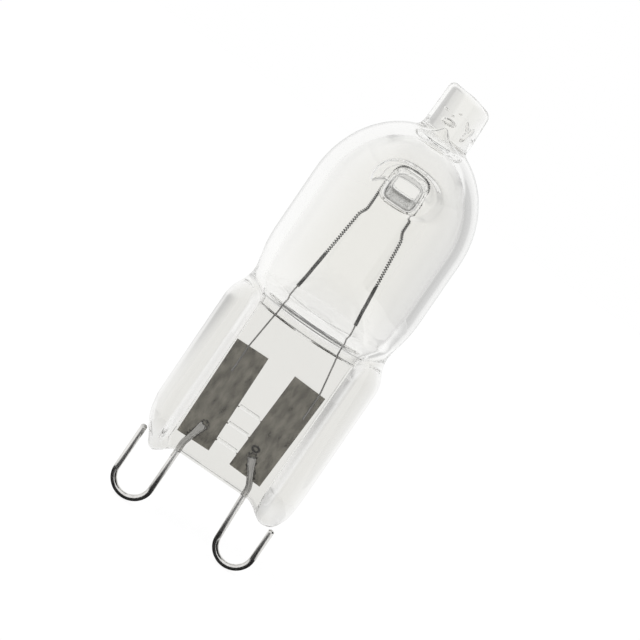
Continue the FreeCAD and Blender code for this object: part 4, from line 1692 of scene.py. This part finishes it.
@dataclass
class Studio:
    """A white table and surroundings, soft lamps and the camera at the photograph's angle."""

    lean: float = 34.4
    elevation: float = 6.0
    azimuth: float = 0.0
    frame_width: float = 46.4
    aim: Triple = (0.2, 0.0, 13.76)
    lens: float = 180.0
    sensor: float = 36.0
    clip: Span = (0.005, 20.0)
    fill_light: float = 0.8
    floor_height: float = -5.3
    floor_reach: float = 600.0
    floor_tint: Triple = (0.16, 0.16, 0.16)
    floor_glow: float = 0.876
    lamp_aim: Triple = (0.0, 0.0, 12.0)
    bounces: int = 64

    def camera(self) -> None:
        """Set a long lens in front of the bulb, rolled so that the bulb leans to the right."""
        data = bpy.data.cameras.new("photo_camera")
        data.lens = self.lens
        data.sensor_width = self.sensor
        data.clip_start, data.clip_end = self.clip
        camera = bpy.data.objects.new("photo_camera", data)
        bpy.context.scene.collection.objects.link(camera)
        rise, swing, roll = (math.radians(v) for v in (self.elevation, self.azimuth, self.lean))
        back = Vector((math.sin(swing) * math.cos(rise), -math.cos(swing) * math.cos(rise), math.sin(rise)))
        right = Vector((math.cos(swing), math.sin(swing), 0.0))
        up = back.cross(right)
        rolled_right = right * math.cos(roll) + up * math.sin(roll)
        rolled_up = up * math.cos(roll) - right * math.sin(roll)
        distance = self.frame_width * self.lens / self.sensor
        turn = Matrix((rolled_right, rolled_up, back)).transposed().to_4x4()
        camera.matrix_world = Matrix.Translation((Vector(self.aim) + back * distance) * MM) @ turn
        bpy.context.scene.camera = camera

    def world(self) -> None:
        """White surroundings for the camera, metal and glass, and an even light for the rest."""
        world = bpy.data.worlds.new("white_surroundings")
        bpy.context.scene.world = world
        world.use_nodes = True
        tree = world.node_tree
        tree.nodes.clear()
        output = tree.nodes.new("ShaderNodeOutputWorld")
        path = tree.nodes.new("ShaderNodeLightPath")
        seen = tree.nodes.new("ShaderNodeMath")
        seen.operation = "MAXIMUM"
        tree.links.new(path.outputs["Is Camera Ray"], seen.inputs[0])
        tree.links.new(path.outputs["Is Glossy Ray"], seen.inputs[1])
        bright = tree.nodes.new("ShaderNodeMath")
        bright.operation = "MAXIMUM"
        tree.links.new(seen.outputs[0], bright.inputs[0])
        tree.links.new(path.outputs["Is Transmission Ray"], bright.inputs[1])
        white = tree.nodes.new("ShaderNodeBackground")
        white.inputs["Strength"].default_value = 1.0
        fill = tree.nodes.new("ShaderNodeBackground")
        fill.inputs["Strength"].default_value = self.fill_light
        for node in (white, fill):
            node.inputs["Color"].default_value = (1.0, 1.0, 1.0, 1.0)
        mix = tree.nodes.new("ShaderNodeMixShader")
        tree.links.new(bright.outputs[0], mix.inputs[0])
        tree.links.new(fill.outputs[0], mix.inputs[1])
        tree.links.new(white.outputs[0], mix.inputs[2])
        tree.links.new(mix.outputs[0], output.inputs["Surface"])

    def floor(self) -> None:
        """A wide white table that keeps a soft shadow."""
        draft = Draft()
        draft.add(np.array([(x * self.floor_reach, y * self.floor_reach, self.floor_height)
                            for x, y in ((-1, -1), (1, -1), (1, 1), (-1, 1))]))
        draft.faces.append((0, 1, 2, 3))
        floor = draft.piece("table")
        sheet = NodeSheet(bpy.data.materials.new("white_table"))
        matte = sheet.add("BsdfDiffuse", Color=(*self.floor_tint, 1.0))
        glow = sheet.add("Emission", Color=(1.0, 1.0, 1.0, 1.0), Strength=self.floor_glow)
        both = sheet.add("AddShader")
        sheet.join(matte, 0, both, 0)
        sheet.join(glow, 0, both, 1)
        floor.data.materials.append(sheet.finish(both))

    def card(self, card: Card) -> None:
        """Hang a grey card that shows only where metal mirrors it or glass bends the view to it.

        Args:
            card: The card.
        """
        draft = Draft()
        draft.add(np.array(card.corners))
        draft.faces.append((0, 1, 2, 3))
        piece = draft.piece(card.name)
        piece.visible_camera = False
        piece.visible_diffuse = False
        piece.visible_shadow = False
        piece.visible_transmission = card.glass_only
        piece.visible_glossy = not card.glass_only
        piece.data.materials.append(card.material())

    def lamp(self, name: str, place: Triple, size: float, power: float) -> None:
        """A soft square lamp that looks at the bulb.

        Args:
            name: The lamp's name.
            place: Where it stands.
            size: Its side.
            power: Its power in watts.
        """
        data = bpy.data.lights.new(name, "AREA")
        data.size = size * MM
        data.energy = power
        lamp = bpy.data.objects.new(name, data)
        lamp.visible_glossy = False
        lamp.visible_transmission = False
        bpy.context.scene.collection.objects.link(lamp)
        lamp.location = Vector(place) * MM
        lamp.rotation_mode = "QUATERNION"
        lamp.rotation_quaternion = (Vector(self.lamp_aim) - Vector(place)).to_track_quat("-Z", "Y")

    def light_paths(self) -> None:
        """Let light pass through all the glass walls before it is lost."""
        cycles = bpy.context.scene.cycles
        cycles.max_bounces = self.bounces
        cycles.transmission_bounces = self.bounces
        cycles.glossy_bounces = self.bounces

    def build(self) -> None:
        """Set up the whole studio."""
        bpy.context.scene.view_settings.view_transform = "Standard"
        self.camera()
        self.world()
        self.floor()
        self.lamp("key_lamp", (-160.0, -220.0, 220.0), 160.0, 0.3)
        self.lamp("fill_lamp", (200.0, -160.0, 120.0), 200.0, 0.1)
        for card in CARDS:
            self.card(card)
        self.light_paths()


def main() -> None:
    """Build the bulb's pieces in order and set the studio round them."""
    logging.basicConfig(level=logging.INFO, format="%(name)s %(message)s")
    pin, foil = PIN_FINISH.material(), FOIL_FINISH.material()
    lead, coil = LEAD_FINISH.material(), COIL_FINISH.material()
    for part in (ContactPin(Side.LEFT, 0.2, 3.0, 2.45), ContactPin(Side.RIGHT, -0.95, 2.8, 1.75)):
        part.build(pin)
    weld_shadow = WELD_SHADOW_FINISH.material()
    for part in (SealFoil(Side.LEFT, 2.5, 1.2, weld=((-3.0, 0.75), (-2.45, 2.7))),
                 SealFoil(Side.RIGHT, 2.05, 2.4, weld=((2.8, 0.75), (1.75, 2.7)), spot=(-0.48, 2.05))):
        part.build(foil, weld_shadow)
    for part in (InnerLead(Side.LEFT, 3.0), InnerLead(Side.RIGHT, 3.25)):
        part.build(lead)
    Filament().build(coil)
    QuartzEnvelope().build()
    Studio().build()


if __name__ == "__main__":
    main()
